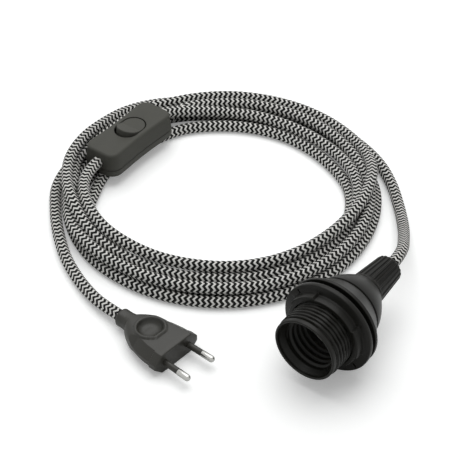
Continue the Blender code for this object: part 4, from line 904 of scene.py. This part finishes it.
# %% [markdown]
# The finger rest is a round dish with a raised lip, pressed into the moulding where a thumb pushes. Its rings
# would not follow the plug's, so the points that lie near it are moved up or down instead, by a height that
# depends on how far each is from the dish's middle.

# %% Finger rest, and the plug itself
DISH_PLACE, DISH_R, DISH_DEPTH, DISH_LIP, DISH_STEEPNESS = -0.0205, 0.0075, 0.0030, 0.0011, 4.6
rings = np.array(rings)
away = np.hypot(rings[:, :, 0] - DISH_PLACE, rings[:, :, 1])
bowl = -DISH_DEPTH * (1 - np.clip(away / DISH_R, 0, 1) ** DISH_STEEPNESS)
lip_height = np.sqrt(np.clip(DISH_LIP**2 - (away - DISH_R - DISH_LIP) ** 2, 0, None))
on_top = rings[:, :, 2] > 0.002
rings[:, :, 2] += np.where(on_top, bowl + lip_height, 0)
plug_moulding = add_piece("plug_moulding", rings, "light", ["plug_body"], PLUG_FRAME, degrees=32)
plug_moulding.data.materials.append(PLUG_GREY)

# %% [markdown]
# ## The pins
# Each pin is a nickel-plated rod with a rounded tip, and its inner half wears an insulating sleeve. Both are
# round, so they are turned from short profiles. The two lean slightly together, as on the real plug, so that they
# grip in the outlet.

# %% Pins and sleeves
PIN_OFFSET, PIN_LEAN, PIN_R, PIN_TIP = 0.0093, math.radians(1.6), 0.0020, 0.0170
tip = [(PIN_R * math.sin(a), PIN_TIP + PIN_R * math.cos(a)) for a in np.linspace(0.02, math.pi / 2, 12)]
rod = tip + [(PIN_R, 0.0105), (0.0019, 0.0103), (0.0014, 0.0103), (0.0014, -0.0080), (0.0001, -0.0080)]
cuff = [(0.0017, 0.0100), (0.00185, 0.0099), (0.0019, 0.0096), (0.0019, -0.0016), (0.0017, -0.0017)]
plug_pieces = [plug_moulding]
for word, side in (("left", 1), ("right", -1)):
    seat = PLUG_FRAME @ Matrix.Translation((0, side * PIN_OFFSET, 0)) @ Matrix.Rotation(math.pi / 2, 4, "Y")
    seat = seat @ Matrix.Rotation(-side * PIN_LEAN, 4, "X")
    pin = add_piece(f"pin_{word}", turned(rod, 48), "light", [f"plug_pin_{word}"], seat)
    pin.data.materials.append(NICKEL)
    sleeve = add_piece(f"sleeve_{word}", turned(cuff, 40), "light", [f"pin_sleeve_{word}"], seat,
                       closed_along=True, capped=False)
    sleeve.data.materials.append(PLUG_GREY)
    plug_pieces += [pin, sleeve]

# %% [markdown]
# ## Pieces that keep their solid
# Contacts, terminals, clamps and screws are small and mostly hidden. They could be drawn again like the others,
# but their solids already have the right shape, so they only take a better finish.

# %% Finish the carried-over solids
KEPT = {
    INSULATOR: ["contact_block", "cord_clamp_in", "cord_clamp_out"],
    BRASS: ["centre_contact", "side_contact", "holder_terminal_left", "holder_terminal_right", "common_contact",
            "live_contact", "contact_bridge", "switch_terminal_in", "switch_terminal_out"],
    STEEL: ["holder_terminal_left_screw", "holder_terminal_right_screw", "switch_terminal_in_screw",
            "switch_terminal_out_screw", "cover_screw_in", "cover_screw_out"],
    HOLDER_BLACK: ["cord_grip"],
}
for finish, names in KEPT.items():
    for name in names:
        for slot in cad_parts[name].material_slots:
            slot.material = finish
print("kept", sum(len(names) for names in KEPT.values()), "solids")

# The lamp's cord leaves the gland and goes back into the object at the switch; the other leaves the switch and
# ends in the plug.

# %% Total length of both stretches of cord
print("cord", round(lamp_side_length + plug_side_length, 2), "m in all")

# %% [markdown]
# ## Floor, world and lamp
# The photograph stands on a white sweep that keeps only soft shadows under the cord. Stronger lamps would whiten
# the floor, but they would bleach the object too. Instead the floor glows faintly, and only for the rays that
# come straight from the camera, so it lights nothing.

# %% Floor
FLOOR_HALF, FLOOR_LIFT = 4, 0.22
floor_mesh = bpy.data.meshes.new("floor")
corners = [(FLOOR_HALF * x, FLOOR_HALF * y, 0) for x, y in ((-1, -1), (1, -1), (1, 1), (-1, 1))]
floor_mesh.from_pydata(corners, [], [(0, 1, 2, 3)])
floor = bpy.data.objects.new("floor", floor_mesh)
bpy.context.scene.collection.objects.link(floor)
sweep = Finish("white_sweep", (0.94, 0.95, 0.945), 0.9)
sweep.feed("Base Color", sweep.mix(sweep.noise(0.5), (0.935, 0.945, 0.94), (0.945, 0.955, 0.95)))
sweep.hold("Specular IOR Level", 0.0)
looked_at = sweep.node("ShaderNodeLightPath", {}, {}, "Is Camera Ray")
sweep.feed("Emission Color", sweep.mix(looked_at, (0, 0, 0), (FLOOR_LIFT, FLOOR_LIFT, FLOOR_LIFT)))
sweep.hold("Emission Strength", 1.0)
floor_mesh.materials.append(sweep.material)
print("floor", tuple(round(x, 1) for x in floor.dimensions))

# %% [markdown]
# The world gives an even light from all sides, and one broad lamp overhead gives the shadows a direction. Together
# they are at a level where a colour renders about as it is written. Camera, glossy and transmission rays see plain
# white instead of the world's grey: the background and the reflections are those of a white studio.

# %% World
WORLD_LEVEL = 0.42
world = bpy.data.worlds.new("studio")
world.use_nodes = True
bpy.context.scene.world = world
sky = Graph(world.node_tree)
seen, mirrored, passed = [sky.node("ShaderNodeLightPath", {}, {}, ray)
                          for ray in ("Is Camera Ray", "Is Glossy Ray", "Is Transmission Ray")]
level = seen.larger(passed).larger(mirrored) * (1 - WORLD_LEVEL) + WORLD_LEVEL
background = sky.tree.nodes["Background"]
background.inputs["Color"].default_value = (1, 1, 1, 1)
sky.tree.links.new(level.socket, background.inputs["Strength"])
print("world", len(sky.tree.nodes), "nodes")

# %% [markdown]
# The lamp is a disk two metres across, a metre and a half above the floor. A small lamp would draw hard shadows;
# one this broad leaves only a soft darkening where the cord and the holder stand.

# %% Lamp
lamp_data = bpy.data.lights.new("softbox", "AREA")
lamp_data.shape = "DISK"
lamp_data.size = 2.0
lamp_data.energy = 21.5
softbox = bpy.data.objects.new("softbox", lamp_data)
softbox.location = (-0.40, 0.45, 1.55)
softbox.rotation_mode = "QUATERNION"
softbox.rotation_quaternion = (Vector((-0.11, 0.04, 0)) - softbox.location).to_track_quat("-Z", "Y")
bpy.context.scene.collection.objects.link(softbox)
print("lamp", lamp_data.energy, "W")

# %% [markdown]
